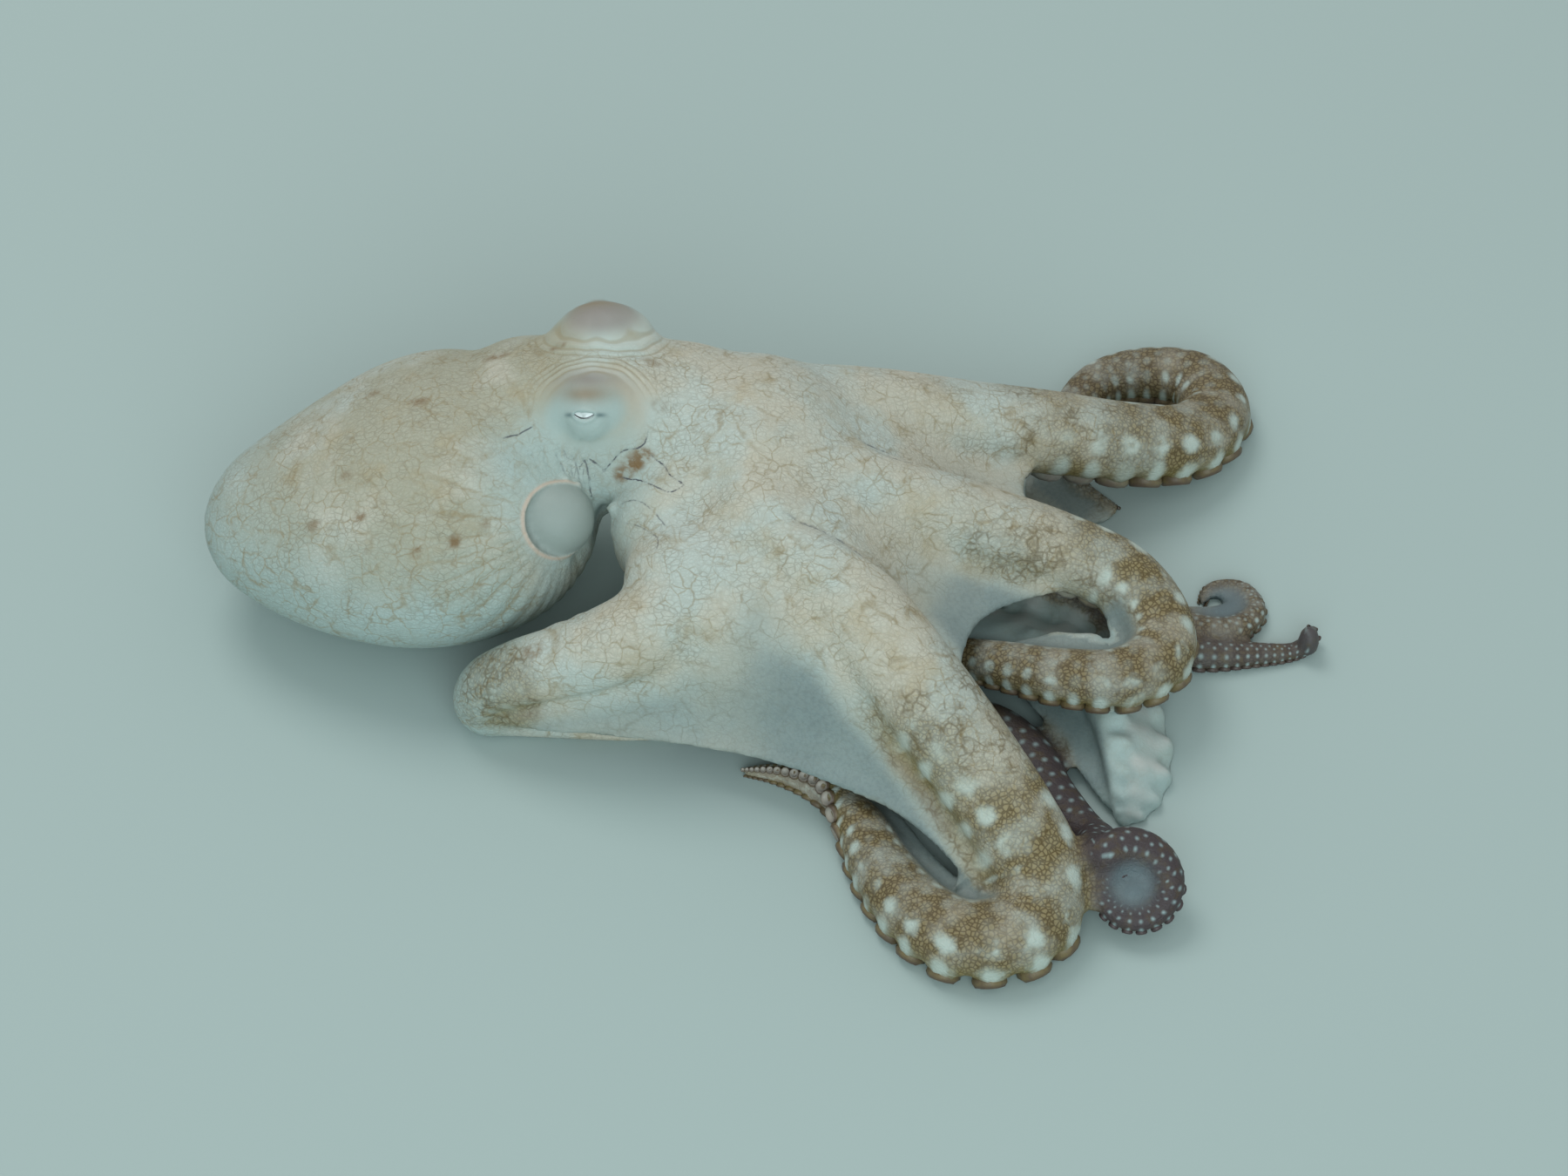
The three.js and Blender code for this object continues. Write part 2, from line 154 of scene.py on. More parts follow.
ARMS = {
    "left_1": dict(root=14.3, keeps=2.4, pale_to=0.36, dark=0.35, route=[
        [-20, 40, 55], [0, 46, 48], [24, 51, 40], [49, 54, 32], [74, 57, 25], [97, 60, 18],
        [115, 67, 11], [124.5, 81, 6], [119.5, 94, 0], [106, 98, 0], [92, 95, 0], [83, 84, 0],
        [80, 70, 0], [85, 57, 0], [96, 49, 0]]),
    "right_1": dict(root=12.5, keeps=2.5, pale_to=0.36, dark=0.25, route=[
        [-20, 22, 58], [-9, 19, 59], [12, 18, 51], [31, 16, 44], [52, 14, 36], [74, 10, 30],
        [93, 4, 24], [102, -7, 20], [102.5, -20, 20], [92, -29.5, 22], [76, -29.5, 23], [60, -24, 21],
        [46, -17, 16], [32, -12, 9], [18, -12, 0], [6, -14, 0]]),
    "right_2": dict(root=13.5, keeps=4, turns=(1.8, 0.8, 0.92), pale_to=0.34, dark=0.2, route=[
        [-19, 8, 54], [-5, -3, 55], [12, -17, 49], [26, -33, 43], [38, -48, 37], [49, -62, 30],
        [60, -76, 21], [67.5, -88, 13], [67, -98.5, 8], [58.5, -106, 0], [46.5, -106, 0],
        [35.5, -97, 0], [26.5, -82, 0], [20, -65, 0], [11, -53, 0], [-1, -47, 0], [-12, -45, 0]]),
    "right_3": dict(root=14.5, keeps=1.3, rolls=True, pale_to=2, dark=0, route=[
        [-16, 4, 44], [-22, -14, 45], [-36, -25, 39], [-53, -29, 32], [-69, -29, 25], [-81, -28, 17],
        [-84, -28, 8.5], [-76, -28, 0], [-60, -30, 0], [-44, -32, 0], [-28, -33, 0]]),
    "right_4": dict(root=9, keeps=1.9, pale_to=0.1, dark=1.0, dark_from=0.1, route=[
        [-20, 6, 26], [-14, -10, 18], [2, -22, 8], [20, -29, 0], [40, -31, 0], [57, -34, 0],
        [66.5, -43, 0], [72, -55, 0], [78, -65, 0], [84, -74, 7]]
        + coil([92.5, -92.5, 11.5], radius=12.4, inner=2.4, turns=2, start=135, tilt=36)),
    "left_4": dict(root=14, keeps=14, turns=(2.5, 0.1, 0.4), cups_to=48, flat=0.52, lies=0.42,
                   pale_to=2, dark=0, route=[
        [-12, 18, 16], [10, 11, 8], [34, 6, 0], [57, 1, 0], [77, -7, 0], [89, -20, 0], [94.8, -34, 0],
        [96, -47, 0], [94, -58, 0], [90.5, -64, 0]]),
    "left_3": dict(root=10.5, keeps=2.0, pale_to=0.45, dark=0.85, route=[
        [-16, 42, 18], [4, 41, 9], [30, 35, 0], [54, 26, 0], [78, 14, 0], [97, 2, 0], [113, -5, 0],
        [130, -5, 0], [143, -3, 0], [148, 1, 4], [146, 1, 7.5]]),
    "left_2": dict(root=12.5, keeps=1.5, pale_to=0.45, dark=0.55, route=[
        [-18, 54, 32], [0, 61, 18], [22, 61, 6], [46, 52, 0], [66, 39, 0], [84, 27, 0], [100, 14, 0],
        [112, 4, 0], [124, 3, 0], [132, 10, 0], [129, 19, 0], [120, 20, 0], [117, 13.5, 0]]),
}
ARM_NAMES = list(ARMS)

# %% [markdown]
# A Catmull-Rom spline passes through every point that it is given, which a Bezier curve with free
# handles doesn't. Its centripetal form makes no loops at tight bends, so it suits an arm that folds
# back on itself.

# %% Centre lines
def through(points, per_span=40):
    """A centripetal Catmull-Rom spline through the points."""
    points = np.asarray(points, float)
    ends = np.concatenate([[2 * points[0] - points[1]], points, [2 * points[-1] - points[-2]]])
    found = []
    for i in range(len(points) - 1):
        a, b, c, d = ends[i : i + 4]
        gaps = [max(np.linalg.norm(q - p) ** 0.5, 1e-4) for p, q in ((a, b), (b, c), (c, d))]
        leave = ((b - a) / gaps[0] - (c - a) / (gaps[0] + gaps[1]) + (c - b) / gaps[1]) * gaps[1]
        arrive = ((c - b) / gaps[1] - (d - b) / (gaps[1] + gaps[2]) + (d - c) / gaps[2]) * gaps[1]
        t = np.linspace(0, 1, per_span, endpoint=False)[:, None]
        bend = b + leave * t + (3 * (c - b) - 2 * leave - arrive) * t**2
        found.append(bend + (2 * (b - c) + leave + arrive) * t**3)
    found.append(points[-1:])
    return np.concatenate(found)


def even(points, count):
    """The same line with its points equally far apart, and how far along each is."""
    steps = np.linalg.norm(np.diff(points, axis=0), axis=1)
    far = np.concatenate([[0], np.cumsum(steps)])
    at = np.linspace(0, far[-1], count)
    return columns(at, far, points), at


def turned(vectors, axes, angles):
    """Vectors turned about unit axes that they are square to."""
    angles = np.asarray(angles)[:, None]
    return vectors * np.cos(angles) + np.cross(axes, vectors) * np.sin(angles)


def find_line(arm):
    centre, at = even(through(arm["route"]), SAMPLES + 1)
    share = at / at[-1]
    radius = TIP_RADIUS + (arm["root"] - TIP_RADIUS) * (1 - share ** arm["keeps"])
    centre[:, 2] = np.maximum(centre[:, 2], radius * arm.get("lies", FLOOR_PRESS))
    along = unit(np.gradient(centre, axis=0))
    back = np.empty_like(centre)
    last = UP
    for i, way in enumerate(along):
        start = last if arm.get("rolls") else UP
        last = unit(start - way * (start @ way))
        back[i] = last
    if "turns" in arm:
        angle, first, last = arm["turns"]
        back = turned(back, along, angle * smooth(first, last, share))
    arm.update(centre=centre, along=along, back=back, side=np.cross(along, back))
    arm.update(radius=radius, at=at, length=at[-1])


for name, arm in ARMS.items():
    find_line(arm)
    print(name, "is", round(arm["length"]), "mm long")


def ring(arm, at, *kinds):
    """Places, ways or radii of an arm's centre line at given distances along it."""
    return [(np.interp if arm[kind].ndim == 1 else columns)(at, arm["at"], arm[kind]) for kind in kinds]


# %% [markdown]
# ## Rough forms
# A tube could be a bevelled curve, but an octopus's arm is round on its back and flatter under its
# suckers. So each arm is a flat grid that is rolled up along its centre line, which leaves its section
# free. The webs are grids too, rolled flat into thin slabs between two arms.

# %% A rolled grid
def deselect():
    if bpy.context.object and bpy.context.object.mode != "OBJECT":
        bpy.ops.object.mode_set(mode="OBJECT")
    bpy.ops.object.select_all(action="DESELECT")


def pick(piece):
    """Selects one piece alone and makes it the active one."""
    deselect()
    piece.select_set(True)
    bpy.context.view_layer.objects.active = piece


def read(items, field):
    """Three numbers of every point or face of a mesh, as the rows of an array."""
    found = np.empty(len(items) * 3)
    items.foreach_get(field, found)
    return found.reshape(-1, 3)


def points_of(piece):
    return read(piece.data.vertices, "co")


def set_points(piece, points):
    piece.data.vertices.foreach_set("co", np.ascontiguousarray(points, float).ravel())
    piece.data.update()


def rolled(name, around, rows, place):
    """A grid whose point (u, v) goes to place(u, v), with its meeting edges merged."""
    deselect()
    bpy.ops.mesh.primitive_grid_add(x_subdivisions=around, y_subdivisions=rows, size=1)
    piece = bpy.context.object
    piece.name = piece.data.name = name
    flat = points_of(piece)
    set_points(piece, world(place(flat[:, 0] + 0.5, flat[:, 1] + 0.5)))
    bpy.ops.object.mode_set(mode="EDIT")
    bpy.ops.mesh.select_all(action="SELECT")
    bpy.ops.mesh.remove_doubles(threshold=1e-6)
    bpy.ops.mesh.normals_make_consistent(inside=False)
    bpy.ops.object.mode_set(mode="OBJECT")
    return piece


def rounded_end(distance, radius):
    """How far a tube's radius is kept at a distance from its rounded end."""
    return np.sqrt(np.clip(1 - (1 - np.clip(distance / radius, 0, 1)) ** 2, 0, 1))


ROW_STEP = 1.6
ROOT_ROUND = 9.0
ROOT_THIN = 0.72


def arm_form(name, arm):
    def place(u, v):
        at = v * arm["length"]
        centre, back, side, radius = ring(arm, at, "centre", "back", "side", "radius")
        keep = rounded_end(at, ROOT_ROUND) * rounded_end(arm["length"] - at, TIP_RADIUS)
        keep = keep * (ROOT_THIN + (1 - ROOT_THIN) * smooth(4, 40, at))
        angle = 2 * math.pi * u
        across = np.cos(angle) * radius * keep
        high = np.sin(angle)
        high = np.where(high > 0, ARM_HEIGHT, ARM_BELLY) * high * radius * keep * arm.get("flat", 1)
        return centre + side * across[:, None] + back * high[:, None]

    return rolled("form_" + name, 28, round(arm["length"] / ROW_STEP), place)


forms = [arm_form(name, arm) for name, arm in ARMS.items()]
print(len(forms), "arm forms")

# %% Web forms
WEBS = {
    "dorsal": dict(arms=("left_1", "right_1"), reach=(112, 104), sag=4, notch=0.14, up=(0.5, 0.2),
                   palm=(0.3, 0.85)),
    "right_12": dict(arms=("right_1", "right_2"), reach=(124, 96), sag=6, notch=0.2, up=(0.5, 0.0),
                     palm=(0.3, 0.8)),
    "right_23": dict(arms=("right_2", "right_3"), reach=(150, 98), sag=12, up=(0.5, -0.1),
                     palm=(0.3, 0.86), edge=[
        [58, -95, 9], [53, -93, 10], [47, -88, 11.5], [39, -79, 14], [29, -70, 15.5], [12, -60, 17],
        [-9, -49.5, 15.5], [-40, -41.5, 12.5], [-62, -38.5, 9.5], [-78, -34, 8]]),
    "right_34": dict(arms=("right_3", "right_4"), reach=(44, 34), sag=3, notch=0.2, up=(0.1, 0)),
    "ventral": dict(arms=("right_4", "left_4"), reach=(36, 36), sag=2, notch=0.2, up=(0, 0)),
    "left_34": dict(arms=("left_4", "left_3"), reach=(36, 36), sag=2, notch=0.2, up=(0, 0)),
    "left_23": dict(arms=("left_3", "left_2"), reach=(40, 48), sag=3, notch=0.2, up=(0, 0)),
    "left_12": dict(arms=("left_2", "left_1"), reach=(88, 92), sag=7, notch=0.2, up=(0.3, 0.1)),
}
WEB_THICK = (3.8, 2.6)
PALM_VALLEY = 2.2
PALM_LEVEL = 0.88
SHARE_STEP = 0.01
WEB_START = 6.0


def web_sides(web, share, out):
    """How far out a web is drawn at each point, and where its two arms are there."""
    drawn = out * (1 - web.get("notch", 0) * np.sin(math.pi * share))
    sides = [ring(ARMS[name], WEB_START + (reach - WEB_START) * drawn, "centre", "back", "radius")
             for name, reach in zip(web["arms"], web["reach"])]
    return drawn, sides


def between(web, share, out):
    """A point of a web: share runs from arm to arm, and out from the crown to the free edge."""
    drawn, sides = web_sides(web, share, out)
    up = web["up"][0] + (web["up"][1] - web["up"][0]) * drawn
    first, second = [centre + back * (radius * up)[:, None] for centre, back, radius in sides]
    hang = web["sag"] * np.sin(math.pi * share) * np.sin(math.pi / 2 * np.minimum(1, drawn * 1.6))
    share = share[:, None]
    back = unit(sides[0][1] * (1 - share) + sides[1][1] * share)
    return first * (1 - share) + second * share - back * hang[:, None]


def web_point(web, share, out):
    """The same point, drawn over to the web's free edge where that edge is given."""
    found = between(web, share, out)
    if "edge" not in web:
        return found
    edge, far = even(through(web["edge"]), 200)
    wanted = columns(share * far[-1], far, edge)
    return found + (wanted - between(web, share, np.ones_like(share))) * (out**2)[:, None]


def palm_point(web, share, out):
    """Flesh between the backs of two arms, which brings a web level with them near the crown."""
    _, sides = web_sides(web, share, out)
    first, second = [centre + back * (radius * PALM_LEVEL)[:, None] for centre, back, radius in sides]
    share = share[:, None]
    return first * (1 - share) + second * share - UP * (PALM_VALLEY * np.sin(math.pi * share))


def web_form(name, web):
    def place(u, v):
        share = np.clip(1 - np.abs(2 * u - 1), 0, 1)
        face = np.where(u < 0.5, 1.0, -1.0) * rounded_end(np.minimum(share, 1 - share), 0.02)
        out = np.clip(v, 0, 1)
        here = web_point(web, share, out)
        across = web_point(web, np.minimum(1, share + SHARE_STEP), out)
        across = across - web_point(web, np.maximum(0, share - SHARE_STEP), out)
        outward = web_point(web, share, np.minimum(1, out + SHARE_STEP))
        outward = outward - web_point(web, share, np.maximum(0, out - SHARE_STEP))
        normal = unit(np.cross(across, outward))
        thick = WEB_THICK[0] + (WEB_THICK[1] - WEB_THICK[0]) * out
        closed = rounded_end(1 - out, 0.02) * rounded_end(out, 0.02)
        found = here + normal * (face * thick / 2 * closed)[:, None]
        if "palm" in web:
            level = np.where(u < 0.5, face * closed, 0) * (1 - smooth(*web["palm"], out))
            found = found + (palm_point(web, share, out) - found) * level[:, None]
        return found

    return rolled("form_web_" + name, 96, max(24, round(max(web["reach"]) / ROW_STEP)), place)


forms += [web_form(name, web) for name, web in WEBS.items()]
print(len(forms), "forms with the webs")

# %% [markdown]
# Where an arm folds back on itself, the skin of its inner side is drawn out to a thin strip. Each strip
# is one more rolled grid, which starts inside the arm and reaches towards the middle of the loop.

# %% Strips of skin inside the loops
STRIPS = {
    "right_1": dict(reach=(116, 206), widths=[0, 4.5, 6, 9, 8, 0], towards=[80, -12]),
    "right_2": dict(reach=(150, 246), widths=[0, 5, 7, 6.5, 5, 0], towards=[46, -84]),
    "left_4": dict(reach=(66, 157), widths=[0, 5, 8.5, 9, 7, 3], towards=[50, -45]),
    "left_2": dict(reach=(150, 200), widths=[0, 4, 6, 6, 5, 3], towards=[123, 12]),
    "left_1": dict(reach=(234, 264), widths=[0, 7, 13, 14, 9, 3], towards=[58, 47]),
}
STRIP_HALF = 1.3


def inward(strip, centre, along):
    """The level way from an arm's centre line to the middle of its loop, square to the arm."""
    way = np.array([*strip["towards"], 0.0]) - centre
    way[:, 2] = 0
    return unit(way - along * (way * along).sum(1)[:, None])


def strip_form(name, strip):
    arm = ARMS[name]
    start, end = strip["reach"]

    def place(u, v):
        share = np.clip(1 - np.abs(2 * u - 1), 0, 1)
        along_share = np.clip(v, 0, 1)
        at = start + along_share * (end - start)
        centre, along, radius = ring(arm, at, "centre", "along", "radius")
        way = inward(strip, centre, along)
        normal = unit(np.cross(along, way))
        wide = np.interp(along_share, np.linspace(0, 1, len(strip["widths"])), strip["widths"])
        far = 0.55 * radius + (0.35 * radius + wide) * share
        closed = rounded_end(1 - share, 0.1) * rounded_end(share, 0.05)
        closed = closed * rounded_end(along_share, 0.02) * rounded_end(1 - along_share, 0.02)
        thick = np.where(u < 0.5, STRIP_HALF, -STRIP_HALF) * closed
        return centre + way * far[:, None] + normal * thick[:, None]

    return rolled("form_strip_" + name, 32, round((end - start) / ROW_STEP), place)


def beside_strips(points, found):
    """How far each point belongs to a strip, from 0 to 1."""
    share = np.zeros(len(points))
    for name, strip in STRIPS.items():
        start, end = strip["reach"]
        mine = np.flatnonzero(found["arm"] == ARM_NAMES.index(name))
        at = found["at"][mine]
        centre, along, radius = ring(ARMS[name], at, "centre", "along", "radius")
        inwards = ((points[mine] - centre) * inward(strip, centre, along)).sum(1) / radius
        share[mine] = smooth(0.5, 0.85, inwards) * smooth(start, start + 12, at)
        share[mine] *= 1 - smooth(end - 8, end, at)
    return share


forms += [strip_form(name, strip) for name, strip in STRIPS.items()]
print(len(forms), "forms with the strips")

# %% [markdown]
# ## Body forms
# The mantle is a soft bag on a gently bent axis. The head, the crown that the arms grow from, and the
# mounds that carry the eyes are spheres drawn out to their shapes. A few more fill the neck and the
# brow, so that the surfaces run into each other with no crease.

# %% Mantle, head, crown and mounds
MANTLE_ENDS = np.array([[-161, 23, 29], [-109, 18.5, 26], [-52, 38, 42]], float)
MANTLE_WIDTH = 1.1
MANTLE_HEIGHT = 0.8
MANTLE_PROFILE = [
    [0, 0], [0.012, 0.058], [0.032, 0.1], [0.07, 0.15], [0.15, 0.209], [0.25, 0.265], [0.36, 0.314],
    [0.48, 0.354], [0.61, 0.372], [0.72, 0.362], [0.81, 0.328], [0.88, 0.275], [0.94, 0.205],
    [0.985, 0.105], [1, 0],
]


def bent(t):
    """Points and directions of the mantle's axis."""
    a, b, c = MANTLE_ENDS
    t = np.asarray(t, float)[:, None]
    return a * (1 - t) ** 2 + b * 2 * t * (1 - t) + c * t**2, unit((b - a) * (1 - t) + (c - b) * t)


MANTLE_LENGTH = np.linalg.norm(np.diff(bent(np.linspace(0, 1, 200))[0], axis=0), axis=1).sum()
PROFILE_LINE = through(MANTLE_PROFILE)


def mantle_place(u, v):
    line, _ = even(PROFILE_LINE, 400)
    at = np.linspace(0, 1, 400)
    share = np.interp(v, at, line[:, 0])
    radius = np.maximum(np.interp(v, at, line[:, 1]), 0) * MANTLE_LENGTH
    centre, along = bent(share)
    side = unit(np.cross(along, UP))
    up = np.cross(side, along)
    angle = 2 * math.pi * u
    across = np.cos(angle) * radius * MANTLE_WIDTH
    high = np.sin(angle) * radius * MANTLE_HEIGHT
    return centre + side * across[:, None] + up * high[:, None]


def ball(name, centre, radii):
    deselect()
    bpy.ops.mesh.primitive_uv_sphere_add(segments=40, ring_count=24, radius=1)
    piece = bpy.context.object
    piece.name = piece.data.name = name
    set_points(piece, world(np.array(centre, float) + points_of(piece) * np.array(radii, float)))
    return piece


MOUND_RIGHT = np.array([-52.0, 30.0, 66.0])
MOUND_LEFT = np.array([-50.0, 55.0, 66.0])
forms.append(rolled("form_mantle", 96, 90, mantle_place))
forms += [
    ball("form_head", [-50, 41, 49], [30, 26, 24]),
    ball("form_crown", [-9, 30, 38], [34, 37, 31]),
    ball("form_throat", [-31, 9, 38], [17, 17, 21]),
    ball("form_palm", [-24, -10, 41], [20, 16, 17]),
    ball("form_mound_right", MOUND_RIGHT, [13, 10.5, 10.5]),
    ball("form_mound_left", MOUND_LEFT, [15.5, 11, 11.2]),
    ball("form_neck", [-70, 40, 46], [26, 29, 23]),
    ball("form_brow", [-30, 42, 52], [26, 22, 16]),
    ball("form_coil_heart", [92.5, -92.5, 10.5], [4.6, 4.4, 3.4]),
    ball("form_knob", [146, -2.5, 5.2], [3.0, 3.6, 5.2]),
]
print(len(forms), "forms in all")

# %% [markdown]
# ## One skin
# Joining the forms only puts them in one object. A voxel remesh then melts them: it keeps the outside
# of all of them together as one closed surface of even squares, which can be smoothed and worked on
# anywhere.

# %% Melt the forms
VOXEL = 0.00154


def join(pieces, name):
    deselect()
    for piece in pieces:
        piece.select_set(True)
    bpy.context.view_layer.objects.active = pieces[0]
    bpy.ops.object.join()
    pieces[0].name = pieces[0].data.name = name
    return pieces[0]


def melt(piece, size):
    pick(piece)
    piece.data.remesh_voxel_size = size
    piece.data.remesh_voxel_adaptivity = 0
    piece.data.use_remesh_fix_poles = False
    bpy.ops.object.voxel_remesh()
    return piece


skin = melt(join(forms, "skin"), VOXEL * 1.15)
print("melted once:", len(skin.data.polygons), "faces")

# %% [markdown]
# ## The mantle's opening and the siphon
# An octopus breathes through a slit behind its head, and its siphon comes out of it. A ball is cut out
# of the skin with a Boolean, the siphon's cone is set into the hollow, and a thin lip is laid round the
# cut.

# %% Cut the opening, add the siphon and the lip
OPENING = np.array([-58.4, 2.2, 51.0])
OPENING_RADII = np.array([12.8, 10.4, 9.8])


def cut(piece, tool):
    pick(piece)
    step = piece.modifiers.new("cut", "BOOLEAN")
    step.operation = "DIFFERENCE"
    step.object = tool
    step.solver = "EXACT"
    bpy.ops.object.modifier_apply(modifier="cut")
    bpy.data.objects.remove(tool, do_unlink=True)


def pipe(name, points, radii):
    """A round tube through a few points, with a radius at each of them."""
    line, at = even(through(points), 200)
    along = unit(np.gradient(line, axis=0))
    side = unit(np.cross(along, UP))
    up = np.cross(side, along)
    marks = np.linspace(0, at[-1], len(radii))

    def place(u, v):
        far = v * at[-1]
        r = np.interp(far, marks, radii)
        r = r * rounded_end(far, radii[0]) * rounded_end(at[-1] - far, radii[-1])
        middle, to_side, upward = [columns(far, at, kind) for kind in (line, side, up)]
        angle = 2 * math.pi * u
        return middle + to_side * (np.cos(angle) * r)[:, None] + upward * (np.sin(angle) * r)[:, None]

    return rolled(name, 24, 60, place)


def lobes(name, start, end, count, size):
    """A row of small round lobes, by turns a little larger and smaller."""
    return [ball(f"form_{name}_{i}", middle, [size * (1 + 0.2 * (-1) ** i)] * 3)
            for i, middle in enumerate(np.linspace(start, end, count))]


# The opening first, then three balls that clear the gap between the siphon and the nearest arm.
for name, centre, radii in (
    ("cutter", OPENING, OPENING_RADII), ("gap_cutter", [-52, -3, 36], [6.5, 10, 12.5]),
    ("gap_end_cutter", [-49.6, 13, 36], [3.6, 9, 9]), ("gap_far_cutter", [-50, 27, 22], [5, 10, 10]),
):
    cut(skin, ball(name, centre, radii))
SIPHON_ROUTE = [[-82, 18, 42], [-70, 10, 45], [-61, 7, 45.5], [-52, 5, 44]]
siphon = pipe("form_siphon", SIPHON_ROUTE, [9, 10.5, 11, 9.5])
fringe = lobes("fringe", [-46.5, 9.5, 47.5], [-45.5, 2, 34.5], 6, 1.7)
skin = melt(join([skin, siphon, *fringe], "skin"), VOXEL)
print("melted again:", len(skin.data.polygons), "faces")

# %% [markdown]
# ## Smoothing
# A living skin has no hard valley where two forms meet. Smoothing pulls every point towards its
# neighbours, and a vertex group says how much it does so: strongly round the crown, neck and head, and
# barely along the arms, because it would wear a thin arm or web away.

# %% Where each point of the skin lies
BATCH = 4000  # points worked on at a time, to save memory
NEAREST_STEP = 2
WEIGHT_STEPS = 20


def nearest_on_arms(points):
    """Each point's arm, and how far along it, at what turn and how far from its middle it lies."""
    step = np.arange(0, SAMPLES + 1, NEAREST_STEP)
    centre = np.concatenate([arm["centre"][step] for arm in ARMS.values()])
    radius = np.concatenate([arm["radius"][step] for arm in ARMS.values()])
    owner = np.repeat(np.arange(len(ARMS)), len(step))
    step = np.tile(step, len(ARMS))
    best = np.empty(len(points), int)
    for first in range(0, len(points), BATCH):
        some = points[first : first + BATCH]
        away = (some**2).sum(1)[:, None] + (centre**2).sum(1)[None] - 2 * some @ centre.T
        best[first : first + BATCH] = np.argmin(np.sqrt(np.maximum(away, 0)) - radius[None], 1)
    found = dict(arm=owner[best], at=np.zeros(len(points)), angle=np.zeros(len(points)))
    found["rho"] = np.full(len(points), 9.0)
    found["radius"] = radius[best]
    for i, arm in enumerate(ARMS.values()):
        mine = owner[best] == i
        k = step[best[mine]]
        off = points[mine] - arm["centre"][k]
        forward = (off * arm["along"][k]).sum(1)
        at = np.clip(arm["at"][k] + forward, 0, arm["length"])
        flat = off - arm["along"][k] * forward[:, None]
        across = (flat * arm["side"][k]).sum(1)
        high = (flat * arm["back"][k]).sum(1)
        found["at"][mine] = at
        found["angle"][mine] = np.arctan2(high, across)
        found["rho"][mine] = np.linalg.norm(off, axis=1) / arm["radius"][k]
    return found


def away_from(points, centre, radii):
    """1 on the ellipsoid, less inside, more outside."""
    return np.linalg.norm((points - np.array(centre, float)) / np.array(radii, float), axis=1)


def weigh(piece, name, weights):
    """A vertex group whose weights come from an array, in even steps."""
    group = piece.vertex_groups.new(name=name)
    steps = np.round(np.clip(weights, 0, 1) * WEIGHT_STEPS).astype(int)
    for step in range(1, WEIGHT_STEPS + 1):
        chosen = np.flatnonzero(steps == step)
        if len(chosen):
            group.add(chosen.tolist(), step / WEIGHT_STEPS, "REPLACE")


def relax(piece, name, weights, times):
    weigh(piece, name, weights)
    pick(piece)
    step = piece.modifiers.new(name, "SMOOTH")
    step.factor = 0.5
    step.iterations = times
    step.vertex_group = name
    bpy.ops.object.modifier_apply(modifier=name)
    piece.vertex_groups.remove(piece.vertex_groups[name])


here = body(points_of(skin))
opening_near = away_from(here, OPENING, [15, 13, 14])
joins = 1 - smooth(0.95, 1.75, away_from(here, [-14, 30, 36], [40, 42, 34]))
neck = 1 - smooth(0.9, 1.3, away_from(here, [-58, 40, 52], [34, 30, 26]))
kept = smooth(0.95, 1.25, opening_near)
relax(skin, "joins", np.maximum(joins, neck * 0.8) * kept, 60)
relax(skin, "all", 0.35 + 0.4 * kept, 4)
print("smoothed", len(here), "points")

# %% [markdown]
# ## Eyes in their mounds
# Each eye sits in a soft mound, and only a narrow window of it shows between the lids. The lids need
# more points than the rest of the skin, so the faces round each eye are subdivided first. Then the
# points in front of the eyeball are laid just over it, and those in the window are pushed inside it.

# %% More points round the eyes
GAZE_RIGHT = unit([-0.17, -0.66, 0.73])
GAZE_LEFT = unit([-0.17, 0.82, 0.5])
EYES = {"right": (RIGHT_EYE_MM, GAZE_RIGHT, MOUND_RIGHT), "left": (LEFT_EYE_MM, GAZE_LEFT, MOUND_LEFT)}
FINE_REACH = 15.5


def select_faces(piece, wanted):
    """Selects the faces that an array of their middles says to, and goes into edit mode."""
    pick(piece)
    mesh = piece.data
    chosen = wanted(body(read(mesh.polygons, "center")))
    mesh.vertices.foreach_set("select", np.zeros(len(mesh.vertices), bool))
    mesh.edges.foreach_set("select", np.zeros(len(mesh.edges), bool))
    mesh.polygons.foreach_set("select", chosen)
    bpy.ops.object.mode_set(mode="EDIT")
    bpy.ops.mesh.select_mode(type="FACE")
    return int(chosen.sum())


def near_eyes(points):
    nearest = np.minimum(*[np.linalg.norm(points - mound, axis=1) for _, _, mound in EYES.values()])
    return nearest < FINE_REACH


def near_windows(points):
    found = [np.linalg.norm(points - centre - gaze * EYE_RADIUS, axis=1)
             for centre, gaze, _ in EYES.values()]
    return np.minimum(*found) < 6.5


def near_opening(points):
    return (away_from(points, OPENING, OPENING_RADII * 1.6) < 1) & (points[:, 0] > -80)


def near_lip(points):
    away = away_from(points, OPENING, OPENING_RADII)
    return (away > 0.93) & (away < 1.25) & (points[:, 0] < -50)


def near_creases(points):
    away = np.linalg.norm(points - np.array([-41.0, 15.0, 57.0]), axis=1)
    return (away < 17) & (away_from(points, OPENING, OPENING_RADII * 1.6) > 1)


def near_folds(points):
    x, y, z = points.T
    return (x > -74) & (x < -28) & (y > 36) & (y < 49) & (z > 60)


for wanted in (near_eyes, near_windows, near_folds, near_opening, near_lip, near_creases):
    count = select_faces(skin, wanted)
    bpy.ops.mesh.subdivide(number_cuts=1, quadcorner="INNERVERT")
    bpy.ops.mesh.vertices_smooth(factor=0.5, repeat=4)
    bpy.ops.object.mode_set(mode="OBJECT")
    print(count, "faces subdivided, now", len(skin.data.polygons))

# %% [markdown]
# The window is flat above and round below, like a bowl, because the upper lid hangs straight. Its
# measures are in millimetres on the eyeball: `across` runs along the slit, and `above` square to it.

# %% Lids
BALL_RADIUS = 7.3
LID = 0.55
WINDOW_HALF = 2.65
WINDOW_TOP = 0.75
WINDOW_DEEP = 1.3


